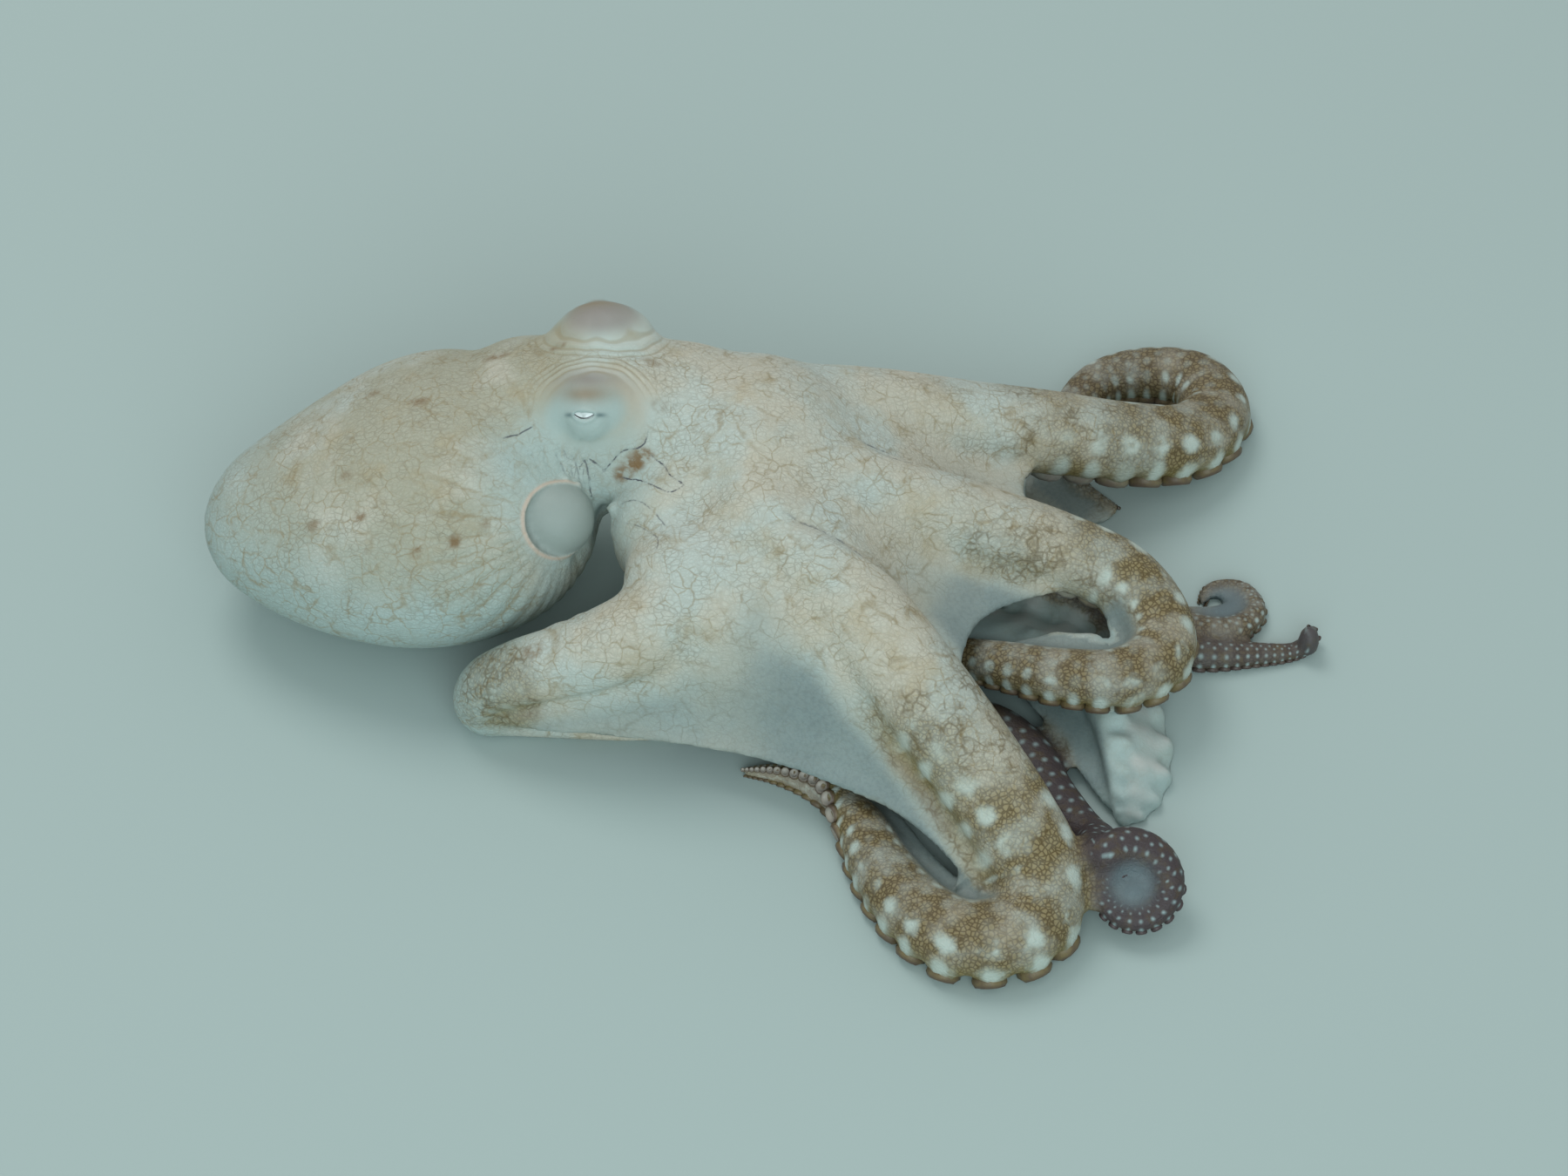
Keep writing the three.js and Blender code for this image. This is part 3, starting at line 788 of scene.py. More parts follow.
def eye_axes(gaze):
    """Across the slit, which stays level along the body, and above it."""
    level = np.array([math.copysign(1.0, gaze[1]), 0.0, 0.0])
    across = unit(level - gaze * (gaze @ level))
    return across, np.cross(across, gaze)


def past_window(across, above):
    """Millimetres past the window's edge; less than 0 inside it."""
    bowl = np.sqrt(np.clip(1 - (across / WINDOW_HALF) ** 2, 0, 1))
    top = WINDOW_TOP * bowl**0.8
    bottom = -WINDOW_DEEP * bowl**1.3
    beyond = np.maximum(np.abs(across) - WINDOW_HALF, 0)
    return np.where(beyond > 0, np.hypot(beyond, above), np.maximum(above - top, bottom - above))


def lids(points, centre, gaze):
    across_way, above_way = eye_axes(gaze)
    off = points - centre
    far = np.linalg.norm(off, axis=1)
    way = off / far[:, None]
    facing = way @ gaze
    across = (way @ across_way) * BALL_RADIUS
    above = (way @ above_way) * BALL_RADIUS
    edge = past_window(across, above)
    rim = 0.25 * np.exp(-(((edge - 0.5) / 0.45) ** 2))
    crease = -0.12 * np.exp(-(((edge - 1.6) / 0.45) ** 2))
    cover = BALL_RADIUS + LID + rim + crease
    wanted = np.where(edge < 0.25, BALL_RADIUS - 1.6 + (LID + 1.7) * smooth(-0.7, 0.25, edge), cover)
    loose = smooth(0.9, 3.6, edge)
    wanted = wanted * (1 - loose) + np.maximum(far, wanted) * loose
    near = smooth(0.3, 0.8, facing)
    laid = far * (1 - near) + wanted * near
    laid = np.where(edge > 0.3, np.maximum(laid, BALL_RADIUS + 0.8 * LID), laid)
    return centre + way * laid[:, None]


here = body(points_of(skin))
for centre, gaze, _ in EYES.values():
    close = np.linalg.norm(here - centre, axis=1) < 15
    here[close] = lids(here[close], centre, gaze)
set_points(skin, world(here))

ring_share = np.zeros(len(here))
for centre, gaze, _ in EYES.values():
    across_way, above_way = eye_axes(gaze)
    off = here - centre
    far = np.linalg.norm(off, axis=1)
    edge = past_window(off @ across_way / far * BALL_RADIUS, off @ above_way / far * BALL_RADIUS)
    found = smooth(1.3, 3.2, edge) * (1 - smooth(11, 14, far)) * smooth(-2, 1, off @ gaze)
    ring_share = np.maximum(ring_share, found)
relax(skin, "lid_rings", ring_share, 45)
print("lids laid over eyeballs of", BALL_RADIUS, "mm")

# %% [markdown]
# ## Folds and creases
# Rings of fine folds run round the eye mounds, creases run across the mantle to the opening, and a low
# scallop stands over every sucker along the arms. They are real shapes, so they are laid into the mesh
# along its normals. Only what is smaller than the mesh's own squares is left to the finish.

# %% Folds
from mathutils import Vector, noise

SUCKER_STEP = 0.74
FOLD_STEP = 1.45
FOLD_HIGH = 0.24
RAY_COUNT = 34
RAY_HIGH = 0.28
RIM_HIGH = 0.5
SCALLOP_HIGH = 0.25
RIDGE_HIGH = 0.32
MOUND_SHAPE = [1.3, 1, 1]


def drift(points, size, seed=0.0):
    """Smooth noise about 0, one lump every `size` millimetres."""
    return np.array([noise.noise(Vector(p)) for p in points / size + seed])


def web_ends(arm_name):
    """How far along an arm the web on each of its two sides reaches."""
    first = [web["reach"][0] for web in WEBS.values() if web["arms"][0] == arm_name]
    second = [web["reach"][1] for web in WEBS.values() if web["arms"][1] == arm_name]
    return (first or [0])[0], (second or [0])[0]


for arm in ARMS.values():
    pace = 1 / (SUCKER_STEP * arm["radius"])
    arm["beat"] = np.concatenate([[0], np.cumsum((pace[1:] + pace[:-1]) / 2 * np.diff(arm["at"]))])


def beats(spots):
    """How many suckers along its own arm each point lies."""
    found = np.zeros(len(spots["arm"]))
    for i, arm in enumerate(ARMS.values()):
        mine = spots["arm"] == i
        found[mine] = np.interp(spots["at"][mine], arm["at"], arm["beat"])
    return found


def wrapped(angle):
    """The same angle, brought within half a turn of 0."""
    return np.angle(np.exp(1j * angle))


here = body(points_of(skin))
out = read(skin.data.vertices, "normal")
spots = nearest_on_arms(here)
beat = beats(spots)
on_arm = 1 - smooth(1.15, 1.45, spots["rho"])

push = np.zeros(len(here))
mounds = [np.linalg.norm((here - mound) / MOUND_SHAPE, axis=1) for _, _, mound in EYES.values()]
fold_away = np.minimum(*mounds) + 0.55 * drift(here, 6.0, 2.0)
between_eyes = smooth(MOUND_RIGHT[1] - 2, MOUND_RIGHT[1] + 9, here[:, 1])
between_eyes *= 1 - smooth(MOUND_LEFT[1] - 3, MOUND_LEFT[1] + 4, here[:, 1])
fold_share = smooth(8.4, 9.6, fold_away) * (1 - smooth(13, 19, fold_away))
fold_share = fold_share * smooth(50, 62, here[:, 2]) * between_eyes
push += FOLD_HIGH * np.sin(fold_away * 2 * math.pi / FOLD_STEP) * fold_share

opening_way = unit([0.48, -0.68, 0.55])
off = here - OPENING
turn_a = unit(np.cross(opening_way, UP))
turn_b = np.cross(turn_a, opening_way)
around = np.arctan2(off @ turn_b, off @ turn_a)
reach = np.linalg.norm(off, axis=1)
creases = smooth(13, 20, reach) * (1 - smooth(24, 52, reach)) * (1 - smooth(-58, -50, here[:, 0]))
rays = np.sin(around * RAY_COUNT + 2.0 * np.sin(around * 5) + 1.2 * drift(here, 12.0, 4.0))
push += RAY_HIGH * rays * creases
rim_away = away_from(here, OPENING, OPENING_RADII)
on_rim = np.exp(-(((rim_away - 1.06) / 0.045) ** 2)) * (1 - smooth(-61, -54, here[:, 0]))
push += RIM_HIGH * on_rim

belly = np.abs(wrapped(spots["angle"] + math.pi / 2))
strip_share = beside_strips(here, spots)
lefty = np.cos(spots["angle"]) < 0
web_end = np.array([web_ends(name) for name in ARMS])[spots["arm"], lefty.astype(int)]
free = 0.1 + 0.9 * smooth(-4, 22, spots["at"] - web_end)
skirt = np.exp(-(((belly - 1.12) / 0.3) ** 2)) * on_arm * smooth(60, 110, spots["at"])
skirt = skirt * (1 - strip_share) * free
lobe = (0.5 + 0.5 * np.cos(2 * math.pi * (beat + np.where(lefty, 0.5, 0.0)))) ** 0.8
push += SCALLOP_HIGH * spots["radius"] * (lobe - 0.4) * skirt
flat_arm = spots["arm"] == ARM_NAMES.index("left_4")
push += RIDGE_HIGH * np.cos(2 * math.pi * beat) * (1 - smooth(0.9, 1.3, belly)) * on_arm * flat_arm
print("folds up to", round(float(np.abs(push).max()), 2), "mm")

# %% [markdown]
# Single creases are drawn in plan, a few points each, and dropped onto the skin from above. Every point
# of the skin then knows its way to the nearest one. The groove is pressed in by it, and the finish
# reads it for a dark line of painted shadow in the groove, which so stays sharp between the mesh's
# points.

# %% Creases
from mathutils.bvhtree import BVHTree

# Painted shadow: how dark the line along each crease is.
CREASE_SHADOW_STRENGTH = 1.2
LOBE_HIGH = 1.1
LOBES = [(-59.5, 13.8, 1.3), (-56.5, 13.6, 1.5), (-53.2, 13.2, 1.6), (-50, 12.8, 1.6)]
FAR = 99.0
CREASES = [
    dict(wide=0.3, deep=0.3, shadow=0.7, plan=[(-77, 20), (-72, 22), (-67, 25)]),
    dict(wide=0.35, deep=0.3, shadow=0.25, plan=[(-60.5, 19.5), (-58.5, 17), (-57.5, 14.5)]),
    dict(wide=0.35, deep=0.3, shadow=0.3, plan=[(-63, 19), (-61, 17), (-59.5, 14.5)]),
    dict(wide=0.35, deep=0.35, shadow=0.35, plan=[(-58, 18.5), (-56.5, 16.5), (-55.5, 14)]),
    dict(wide=0.4, deep=0.4, shadow=0.6, plan=[(-55.5, 18), (-54, 17), (-53, 14.5), (-53.5, 12)]),
    dict(wide=0.3, deep=0.3, shadow=0.75,
         plan=[(-37, 24.5), (-37.5, 22), (-39, 20.5), (-44, 19), (-47.5, 17), (-50, 16)]),
    dict(wide=0.3, deep=0.3, shadow=0.75,
         plan=[(-37, 20), (-33, 16), (-31, 12), (-27.5, 8.5), (-26.5, 7)]),
    dict(wide=0.3, deep=0.3, shadow=0.8,
         plan=[(-46, 15.8), (-43, 14.6), (-39, 12.5), (-34, 8), (-31, 6.5), (-27, 8)]),
    dict(wide=0.35, deep=0.3, shadow=0.7, plan=[(-53.5, 17.8), (-51, 17), (-48.5, 16.2)]),
    dict(wide=0.3, deep=0.2, shadow=0.5, plan=[(-47, 9), (-41, 7), (-35, 1), (-31, -5)]),
    dict(wide=0.3, deep=0.2, shadow=0.4, plan=[(-44, 3), (-38, -2), (-34, -8), (-35, -13)]),
    dict(wide=0.6, deep=0.3, shadow=0.45, valley=(3.0, 1.7), plan=[
        (-2, -6), (5, -8), (12, -9.5), (21, -13), (31, -16.5), (38, -20), (43, -25)]),
    dict(wide=0.6, deep=0.3, shadow=0.5, valley=(2.4, 1.2),
         plan=[(18, 29), (24, 27.5), (36, 26.5), (48, 28.5), (58, 31)]),
    dict(wide=0.4, deep=0.3, shadow=0.45, valley=(1.4, 0.5),
         plan=[(22, 24), (32, 22.5), (42, 24), (52, 27)]),
]


def dropped(surface, plan):
    """Points of the skin, a millimetre apart, below a line that is drawn in plan."""
    line, _ = even(through([(x, y, 0) for x, y in plan]), 60)
    found = [surface.ray_cast(Vector(world([x, y, 200])), Vector((0, 0, -1)))[0] for x, y, _ in line]
    return body(np.reshape([tuple(spot) for spot in found if spot], (-1, 3)))


surface = BVHTree.FromObject(skin, bpy.context.evaluated_depsgraph_get())
crease_gap = np.full(len(here), FAR)
crease_way = np.full((len(here), 3), FAR)
crease_shadow = np.zeros(len(here))
for crease in CREASES:
    line = dropped(surface, crease["plan"])
    close = np.flatnonzero(np.abs(here - line.mean(0)).max(1) < np.ptp(line, axis=0).max() / 2 + 8)
    off = here[close, None] - line[None]
    far = np.linalg.norm(off, axis=2)
    nearest = far.argmin(1)
    far = far[np.arange(len(close)), nearest]
    share = nearest / len(line)
    fade = smooth(0, 0.16, share) * (1 - smooth(0.84, 1, share))
    wide, deep = crease.get("valley", (1, 0))
    groove = crease["deep"] * np.exp(-((far / (crease["wide"] * 1.2)) ** 2))
    groove = groove + deep * np.exp(-((far / wide) ** 2))
    push[close] -= groove * fade
    closer = far / crease["wide"] < crease_gap[close]
    chosen = close[closer]
    crease_gap[chosen] = far[closer] / crease["wide"]
    crease_way[chosen] = off[np.arange(len(close)), nearest][closer] / crease["wide"]
    # Painted shadow along each crease, darkest near its line.
    near = 1 - smooth(1.4, 2.4, far[closer])
    crease_shadow[chosen] = CREASE_SHADOW_STRENGTH * crease["shadow"] * fade[closer] * near

# Four small lobes hang over the top of the opening.
for x, y, size in LOBES:
    for spot in dropped(surface, [(x, y), (x + 0.1, y)])[:1]:
        push += LOBE_HIGH * np.exp(-((np.linalg.norm(here - spot, axis=1) / size) ** 2))
set_points(skin, world(here + out * push[:, None]))
print(len(CREASES), "creases")

# %% Flat on the floor
FLOOR = world([0, 0, 0])[2]


def press_flat(piece):
    """Brings every point that is under the floor up to it."""
    spot = points_of(piece)
    spot[:, 2] = np.maximum(spot[:, 2], FLOOR)
    set_points(piece, spot)


press_flat(skin)
print("lowest point", points_of(skin)[:, 2].min(), "m; faces", len(skin.data.polygons))

# %% [markdown]
# ## Suckers
# Two rows of cups run under every arm, and they shrink with it. One cup is drawn up from a ring by
# extrusion, with a rim and a hollow, and then copied. Ten sides are enough for a cup that is a few
# millimetres wide.

# %% One sucker
def carry(piece, name, values, kind="FLOAT"):
    """Gives a mesh one number, vector or colour at each point."""
    stored = piece.data.attributes.new(name, kind, "POINT")
    field = {"FLOAT": "value", "FLOAT_VECTOR": "vector", "FLOAT_COLOR": "color"}[kind]
    stored.data.foreach_set(field, np.ascontiguousarray(values, np.float32).ravel())


SUCKER_SIDES = 10
CUP_BASE = 0.82
FIRST_CUP = 26  # millimetres along the arm
LAST_CUP = 0.8  # millimetres from its end
OPEN_AFTER = (-4, 22)  # millimetres past the web's edge over which the rows spread
SUCKER_RINGS = [(0.4, 1.2), (0.3, 1.04), (0.24, 0.84), (0.04, 0.8), (-0.26, 0.78), (-0.12, 0.5)]
SUCKER_ANGLE = 0.8
TUCKED_ANGLE = 0.35
SUCKER_SIZE = 0.42


def make_sucker():
    """A round cup about 1 in radius that looks along +Z, with a soft rim."""
    deselect()
    bpy.ops.mesh.primitive_circle_add(vertices=SUCKER_SIDES, radius=CUP_BASE, location=(0, 0, -0.5))
    piece = bpy.context.object
    bpy.ops.object.transform_apply(location=True)
    bpy.ops.object.mode_set(mode="EDIT")
    bpy.ops.mesh.select_mode(type="VERT")
    bpy.ops.mesh.select_all(action="SELECT")
    for rise, grow in SUCKER_RINGS:
        bpy.ops.mesh.extrude_region_move(TRANSFORM_OT_translate={"value": (0, 0, rise)})
        bpy.ops.transform.resize(value=(grow, grow, 1))
    bpy.ops.mesh.edge_face_add()
    bpy.ops.mesh.select_all(action="SELECT")
    bpy.ops.mesh.normals_make_consistent(inside=False)
    bpy.ops.object.mode_set(mode="OBJECT")
    spot = points_of(piece)
    hollow = 1 - smooth(0.62, 0.8, np.hypot(spot[:, 0], spot[:, 1]))
    hollow = hollow * smooth(-0.3, 0.0, spot[:, 2])
    rim = smooth(0.1, 0.45, spot[:, 2]) * (1 - hollow)
    carry(piece, "cup", np.stack([hollow, rim, np.zeros(len(spot))], 1), "FLOAT_VECTOR")
    return piece


sucker = make_sucker()
print("faces of one sucker:", len(sucker.data.polygons), "width:", round(sucker.dimensions.x, 2))

# %% Rows of suckers
from mathutils import Matrix

DARK_FROM = 0.35


def darkened(share, start):
    """How far the dark of an arm's end has come in at a share of its length."""
    return smooth(0, 1, (share - start) / 0.4)


def sucker_places(arm_name, arm):
    """Where each cup of an arm stands, with its way, size and tone. Under a web the rows close up."""
    count = int(arm["beat"][-1])
    for row, sign in enumerate((1, -1)):
        marks = np.arange(2, count) + 0.5 * row
        at = np.interp(marks, arm["beat"], arm["at"])
        at = at[(at > FIRST_CUP) & (at < arm.get("cups_to", arm["length"] - LAST_CUP))]
        centre, side, back, along, radius = ring(arm, at, "centre", "side", "back", "along", "radius")
        web_end = 999 if arm.get("rolls") else web_ends(arm_name)[row]
        spread = smooth(web_end + OPEN_AFTER[0], web_end + OPEN_AFTER[1], at)
        lean = sign * (TUCKED_ANGLE + (SUCKER_ANGLE - TUCKED_ANGLE) * spread)
        to_side, to_belly = np.sin(lean)[:, None], np.cos(lean)[:, None]
        way = unit(side * to_side - back * to_belly)
        flat = arm.get("flat", 1)
        size = SUCKER_SIZE * radius
        place = centre + (side * to_side - back * (ARM_BELLY * flat * to_belly)) * radius[:, None]
        share = at / arm["length"]
        brown = smooth(arm["pale_to"] - 0.1, arm["pale_to"] + 0.16, share)
        dark = arm["dark"] * darkened(share, arm.get("dark_from", DARK_FROM))
        yield from zip(place, way, along, size, brown, dark)


def plant(arm_name, arm):
    cups = []
    for place, way, along, size, brown, dark in sucker_places(arm_name, arm):
        cup = sucker.copy()
        cup.data = sucker.data.copy()
        bpy.context.collection.objects.link(cup)
        third = np.cross(way, along)
        turn = Matrix(np.stack([unit(np.cross(third, way)), unit(third), way], 1).tolist()).to_4x4()
        size = float(size) / 1000
        move = Matrix.Translation(world(place)) @ turn
        cup.data.transform(move @ Matrix.Diagonal((size, size, size, 1)))
        carry(cup, "tone", np.tile([brown, dark, 0.0], (len(cup.data.vertices), 1)), "FLOAT_VECTOR")
        cups.append(cup)
    row = join(cups, "suckers_" + arm_name)
    spot = points_of(row)
    spot[:, 2] = np.maximum(spot[:, 2], 0.0)
    set_points(row, spot)
    return row


SUCKERS = [plant(name, arm) for name, arm in ARMS.items()]
bpy.data.objects.remove(sucker, do_unlink=True)
print("faces of suckers:", [len(row.data.polygons) for row in SUCKERS])

# %% [markdown]
# ## Eyeballs
# Each eyeball is a whole ball in its socket. Its pupil is a slit that bends like a smile and stays
# level however the animal lies. The pupil is painted by two measures that each point of the ball
# carries: across and above.

# %% Eyeballs
EYEBALLS = {}
for side_name, (centre, gaze, _) in EYES.items():
    deselect()
    bpy.ops.mesh.primitive_uv_sphere_add(segments=48, ring_count=32, radius=1)
    eyeball = bpy.context.object
    eyeball.name = eyeball.data.name = "eyeball_" + side_name
    way = points_of(eyeball)
    across_way, above_way = eye_axes(gaze)
    set_points(eyeball, world(centre + way * BALL_RADIUS))
    look = np.stack([way @ across_way, way @ above_way, way @ gaze], 1) * BALL_RADIUS
    carry(eyeball, "look", look, "FLOAT_VECTOR")
    EYEBALLS[side_name] = eyeball
print("eyeballs", list(EYEBALLS))

# %% [markdown]
# ## What the skin knows about itself
# Broad zones of colour follow the body: pale on the head and the near halves of the arms, brown with
# white spots towards their ends, blue-grey on the webs, partly their own colour and partly painted
# shade on their far and low parts. Each point of the skin carries how far it belongs to each zone, and
# the finish reads that. Two measures along and round each arm let spots and bands follow it.

# %% Zones
ends = np.empty(2 * len(skin.data.edges), int)
skin.data.edges.foreach_get("vertices", ends)
ends = ends.reshape(-1, 2)


def evened(values, rounds):
    """Values at the skin's points, mixed with the mean of their neighbours' a few times over."""
    number = np.bincount(ends.ravel(), minlength=len(values))
    for _ in range(rounds):
        total = np.bincount(ends[:, 0], values[ends[:, 1]], len(values))
        total += np.bincount(ends[:, 1], values[ends[:, 0]], len(values))
        values = 0.5 * (values + total / number)
    return values


# Parts of the body that a zone of colour keeps to, as the middle and the radii of a ball round each.
ZONE_BALLS = {
    "crown": ([-14, 29, 37], [42, 44, 36]),
    "head": ([-58, 40, 52], [36, 34, 30]),
    "throat": ([-60, 12, 52], [30, 26, 28]),
    "knee": ([-76, -34, 24], [11, 12, 16]),
    "coil_heart": ([92.5, -92.5, 12], [6.6, 6.2, 8]),
    "loop": ([123, 12, 2], [7, 6, 9]),
    "knob": ([146, -2.5, 5.2], [3, 3.6, 5.2]),
}


def from_ball(name):
    return away_from(here, *ZONE_BALLS[name])


def of_arm(field, usual=0.0):
    """A value of each point's own arm."""
    return np.array([arm.get(field, usual) for arm in ARMS.values()])[spots["arm"]]


here = body(points_of(skin))
spots = nearest_on_arms(here)
count = len(here)
beat = beats(spots)
share = spots["at"] / of_arm("length")
pale_to = of_arm("pale_to")

on_arm = 1 - smooth(1.12, 1.5, spots["rho"])
crown_share = from_ball("crown")
head_share = from_ball("head")
on_mantle = 1 - smooth(-66, -52, here[:, 0] - 0.25 * (here[:, 1] - 30))
on_body = np.maximum(1 - smooth(0.95, 1.25, crown_share), 1 - smooth(0.95, 1.15, head_share))
on_body = np.maximum(on_body, on_mantle)
# The web grey is partly the webs' own colour and partly painted shade: it grows far from the crown and
# low down, and is weaker on the level dorsal side.
from_crown = np.linalg.norm((here - [-9, 30, 38])[:, :2], axis=1) + 12 * drift(here, 14.0, 7.0)
below = 1 - smooth(20, 40, here[:, 2])
far_out = smooth(44, 74, from_crown) * (0.35 + 0.65 * (1 - smooth(6, 22, here[:, 1])))
far_out = far_out * (0.6 + 0.4 * smooth(-30, 10, here[:, 0]))
loosely = smooth(1.05, 1.75, spots["rho"])
web_and_shade_share = loosely * (1 - on_body) * np.maximum(far_out, 0.7 * below * smooth(34, 60, from_crown))
on_arm = on_arm * (1 - on_body)
belly = np.abs(wrapped(spots["angle"] + math.pi / 2))
under = (1 - smooth(0.75, 1.15, belly)) * on_arm * (1 - 0.5 * smooth(pale_to, pale_to + 0.2, share))
# Painted shade: the strips inside the loops take the web grey too.
web_and_shade_share = np.maximum(web_and_shade_share, 0.95 * strip_share)
on_sheet = on_arm * (spots["arm"] == ARM_NAMES.index("left_4"))
web_and_shade_share = np.maximum(web_and_shade_share, 0.1 * on_sheet)
under = under * (1 - on_sheet * (0.4 - 0.4 * np.cos(2 * math.pi * beat)))
wander = drift(here, 22.0, 3.0)
brown = smooth(pale_to - 0.1, pale_to + 0.16, share + 0.12 * wander) * on_arm * (1 - under)
knee = 1 - smooth(0.6, 1.2, from_ball("knee") + 0.5 * wander)
brown = np.maximum(brown, 0.55 * knee) * (1 - strip_share)
dark = of_arm("dark") * darkened(share, of_arm("dark_from", DARK_FROM)) * on_arm * (1 - under)
from_back = wrapped(spots["angle"] - math.pi / 2)
heart = 1 - smooth(0.75, 1.15, from_ball("coil_heart"))
loop = (1 - smooth(1.0, 1.3, from_ball("loop"))) * smooth(0.7, 1.1, np.abs(from_back))
heart = np.maximum(heart, loop)
knob = 1 - smooth(1.1, 1.6, from_ball("knob"))
dark = np.maximum(dark, 0.9 * np.maximum(heart, knob))
brown = brown * (1 - heart)
brown, dark, heart = [evened(values, 4) for values in (brown, dark, heart)]
one, other = ends.T
jumps = (spots["arm"][one] != spots["arm"][other]) | (np.abs(beat[one] - beat[other]) > 1)
seam = np.zeros(count)
seam[ends[jumps]] = 3.0
seam = np.minimum(evened(seam, 3), 1)
carry(skin, "arm_way", np.stack([beat, from_back, heart], 1), "FLOAT_VECTOR")
carry(skin, "zone", np.stack([brown, dark, web_and_shade_share, np.ones(count)], 1), "FLOAT_COLOR")
carry(skin, "place", np.stack([on_arm, under, on_mantle, np.ones(count)], 1), "FLOAT_COLOR")
print("brown", round(brown.mean(), 3), "dark", round(dark.mean(), 3), "web", round(web_and_shade_share.mean(), 3))

# %% Marks: blotches, the patches over the eyes, painted shade round the eyes and low on the body, the lip and the siphon
BLOTCH_HIGH = 3.5
BLOTCHES = [
    ((-43.8, 15.6), 3.2, 1.9, 0.9), ((-41, 17.2), 3.4, 2.2, 1.0), ((-38.4, 19), 3.3, 1.8, 0.95),
    ((-100, 33), 3.2, 1.5, 0.85), ((-89, -8), 1.7, 1.7, 0.9), ((-99, -10), 1.7, 1.4, 0.75),
    ((-115, 0), 2.0, 1.5, 0.75), ((-128, 1), 2.0, 1.6, 0.6), ((-79, 49), 4, 1.4, 0.75),
    ((-62, 48), 2.6, 1.2, 0.75), ((-113, 40), 2.6, 1.2, 0.5), ((-119, 12), 2.2, 1.6, 0.5),
    ((-81, -4), 1.2, 1.6, 0.5), ((-34, 30), 2.4, 1.6, 0.4), ((-36, 43), 3, 1.6, 0.5),
    ((-68, -31), 3.4, 2.2, 0.7),
]
stain = np.zeros(count)
surface = BVHTree.FromObject(skin, bpy.context.evaluated_depsgraph_get())
for plan, wide, deep, strength in BLOTCHES:
    spot = dropped(surface, [plan, np.add(plan, 0.1)])[0]
    inside = 1 - smooth(0.5, 1.3, away_from(here, spot, [wide, deep, BLOTCH_HIGH]))
    stain = np.maximum(stain, strength * inside)

patch, haze, cool_shade, corner_shade, bare = np.zeros((5, count))
for centre, gaze, mound in EYES.values():
    across_way, above_way = eye_axes(gaze)
    off = here - centre
    across = off @ across_way
    above = off @ above_way
    front = smooth(0, 3, off @ gaze + 0.7 * above)
    patch = np.maximum(patch, np.exp(-((across / 8) ** 2) - ((above - 5.7) / 2.7) ** 2) * front)
    band = np.exp(-((across / 8) ** 2) - ((above - 9.6) / 2.4) ** 2)
    haze = np.maximum(haze, band * smooth(-6, -1, off @ gaze))
    # Painted shade: a blue-green cast round the front of each eye.
    about = 1 - smooth(8, 15, np.hypot(across * 0.8, above + 2))
    cool_shade = np.maximum(cool_shade, about * smooth(-1, 4, off @ gaze))
    # Painted shade at the two corners of each eye's window, where the lids meet.
    beside = (np.abs(across) - 4.4) / 1.3
    corner_shade = np.maximum(corner_shade, np.exp(-(beside**2) - ((above + 0.1) / 0.6) ** 2) * front)
    bare = np.maximum(bare, 1 - smooth(11, 16, np.linalg.norm((here - mound) / MOUND_SHAPE, axis=1)))
rim_away = away_from(here, OPENING, OPENING_RADII)
in_opening = 1 - smooth(0.98, 1.05, rim_away)
# Painted shade: the blue-green cast also lies by the throat, low on the mantle and over the flat arm.
throat_side = 1 - smooth(0.55, 1.15, from_ball("throat"))
low_mantle_shade = on_mantle * (1 - smooth(30, 60, here[:, 2]))
cool_shade = np.maximum(cool_shade, np.maximum(0.8 * throat_side, low_mantle_shade))
cool_shade = np.maximum(cool_shade, 0.95 * on_sheet)
bare = np.maximum(bare, np.maximum(0.8 * on_sheet, 0.5 * throat_side))
rim = np.exp(-(((rim_away - 1.09) / 0.05) ** 2)) * (1 - smooth(-60, -53, here[:, 0]))
# The marks attribute carries the blotches, the patches over the eyes and the blue-green painted shade.
carry(skin, "marks", np.stack([stain, patch, cool_shade, np.ones(count)], 1), "FLOAT_COLOR")
# The gate attribute carries the opening, its lip and the painted shadow of the creases.
carry(skin, "gate", np.stack([in_opening, rim, crease_shadow, np.ones(count)], 1), "FLOAT_COLOR")
carry(skin, "crease", crease_way, "FLOAT_VECTOR")
carry(skin, "round_eye", np.stack([haze, corner_shade, bare, np.ones(count)], 1), "FLOAT_COLOR")
hood = 1 - smooth(0.7, 1.5, away_from(here, MOUND_LEFT + [0, 2, 10], [10, 7, 5]))
carry(skin, "fold", np.stack([fold_away, fold_share, hood], 1), "FLOAT_VECTOR")
carry(skin, "ray", np.stack([rays, creases, seam], 1), "FLOAT_VECTOR")
print("marks at", len(BLOTCHES), "blotches")

# %% [markdown]
# ## The skin's finish
# Under the surface lie sacs of pigment, and between them a fine net of creases. The net is a Voronoi
# pattern read by its distance to an edge, at several sizes. Each step below lays one colour over the
# last by a mask, as a painter glazes. All of it reads positions on the body, so that nothing slides.

# %% Helpers for materials
NOISE_ROUGH = 0.55


def linear(colour):
    """A colour as it looks on a screen, 0 to 255, made into the shader's own measure."""
    share = np.array(colour, float) / 255
    found = np.where(share <= 0.04045, share / 12.92, ((share + 0.055) / 1.055) ** 2.4)
    return (*found.tolist(), 1.0)


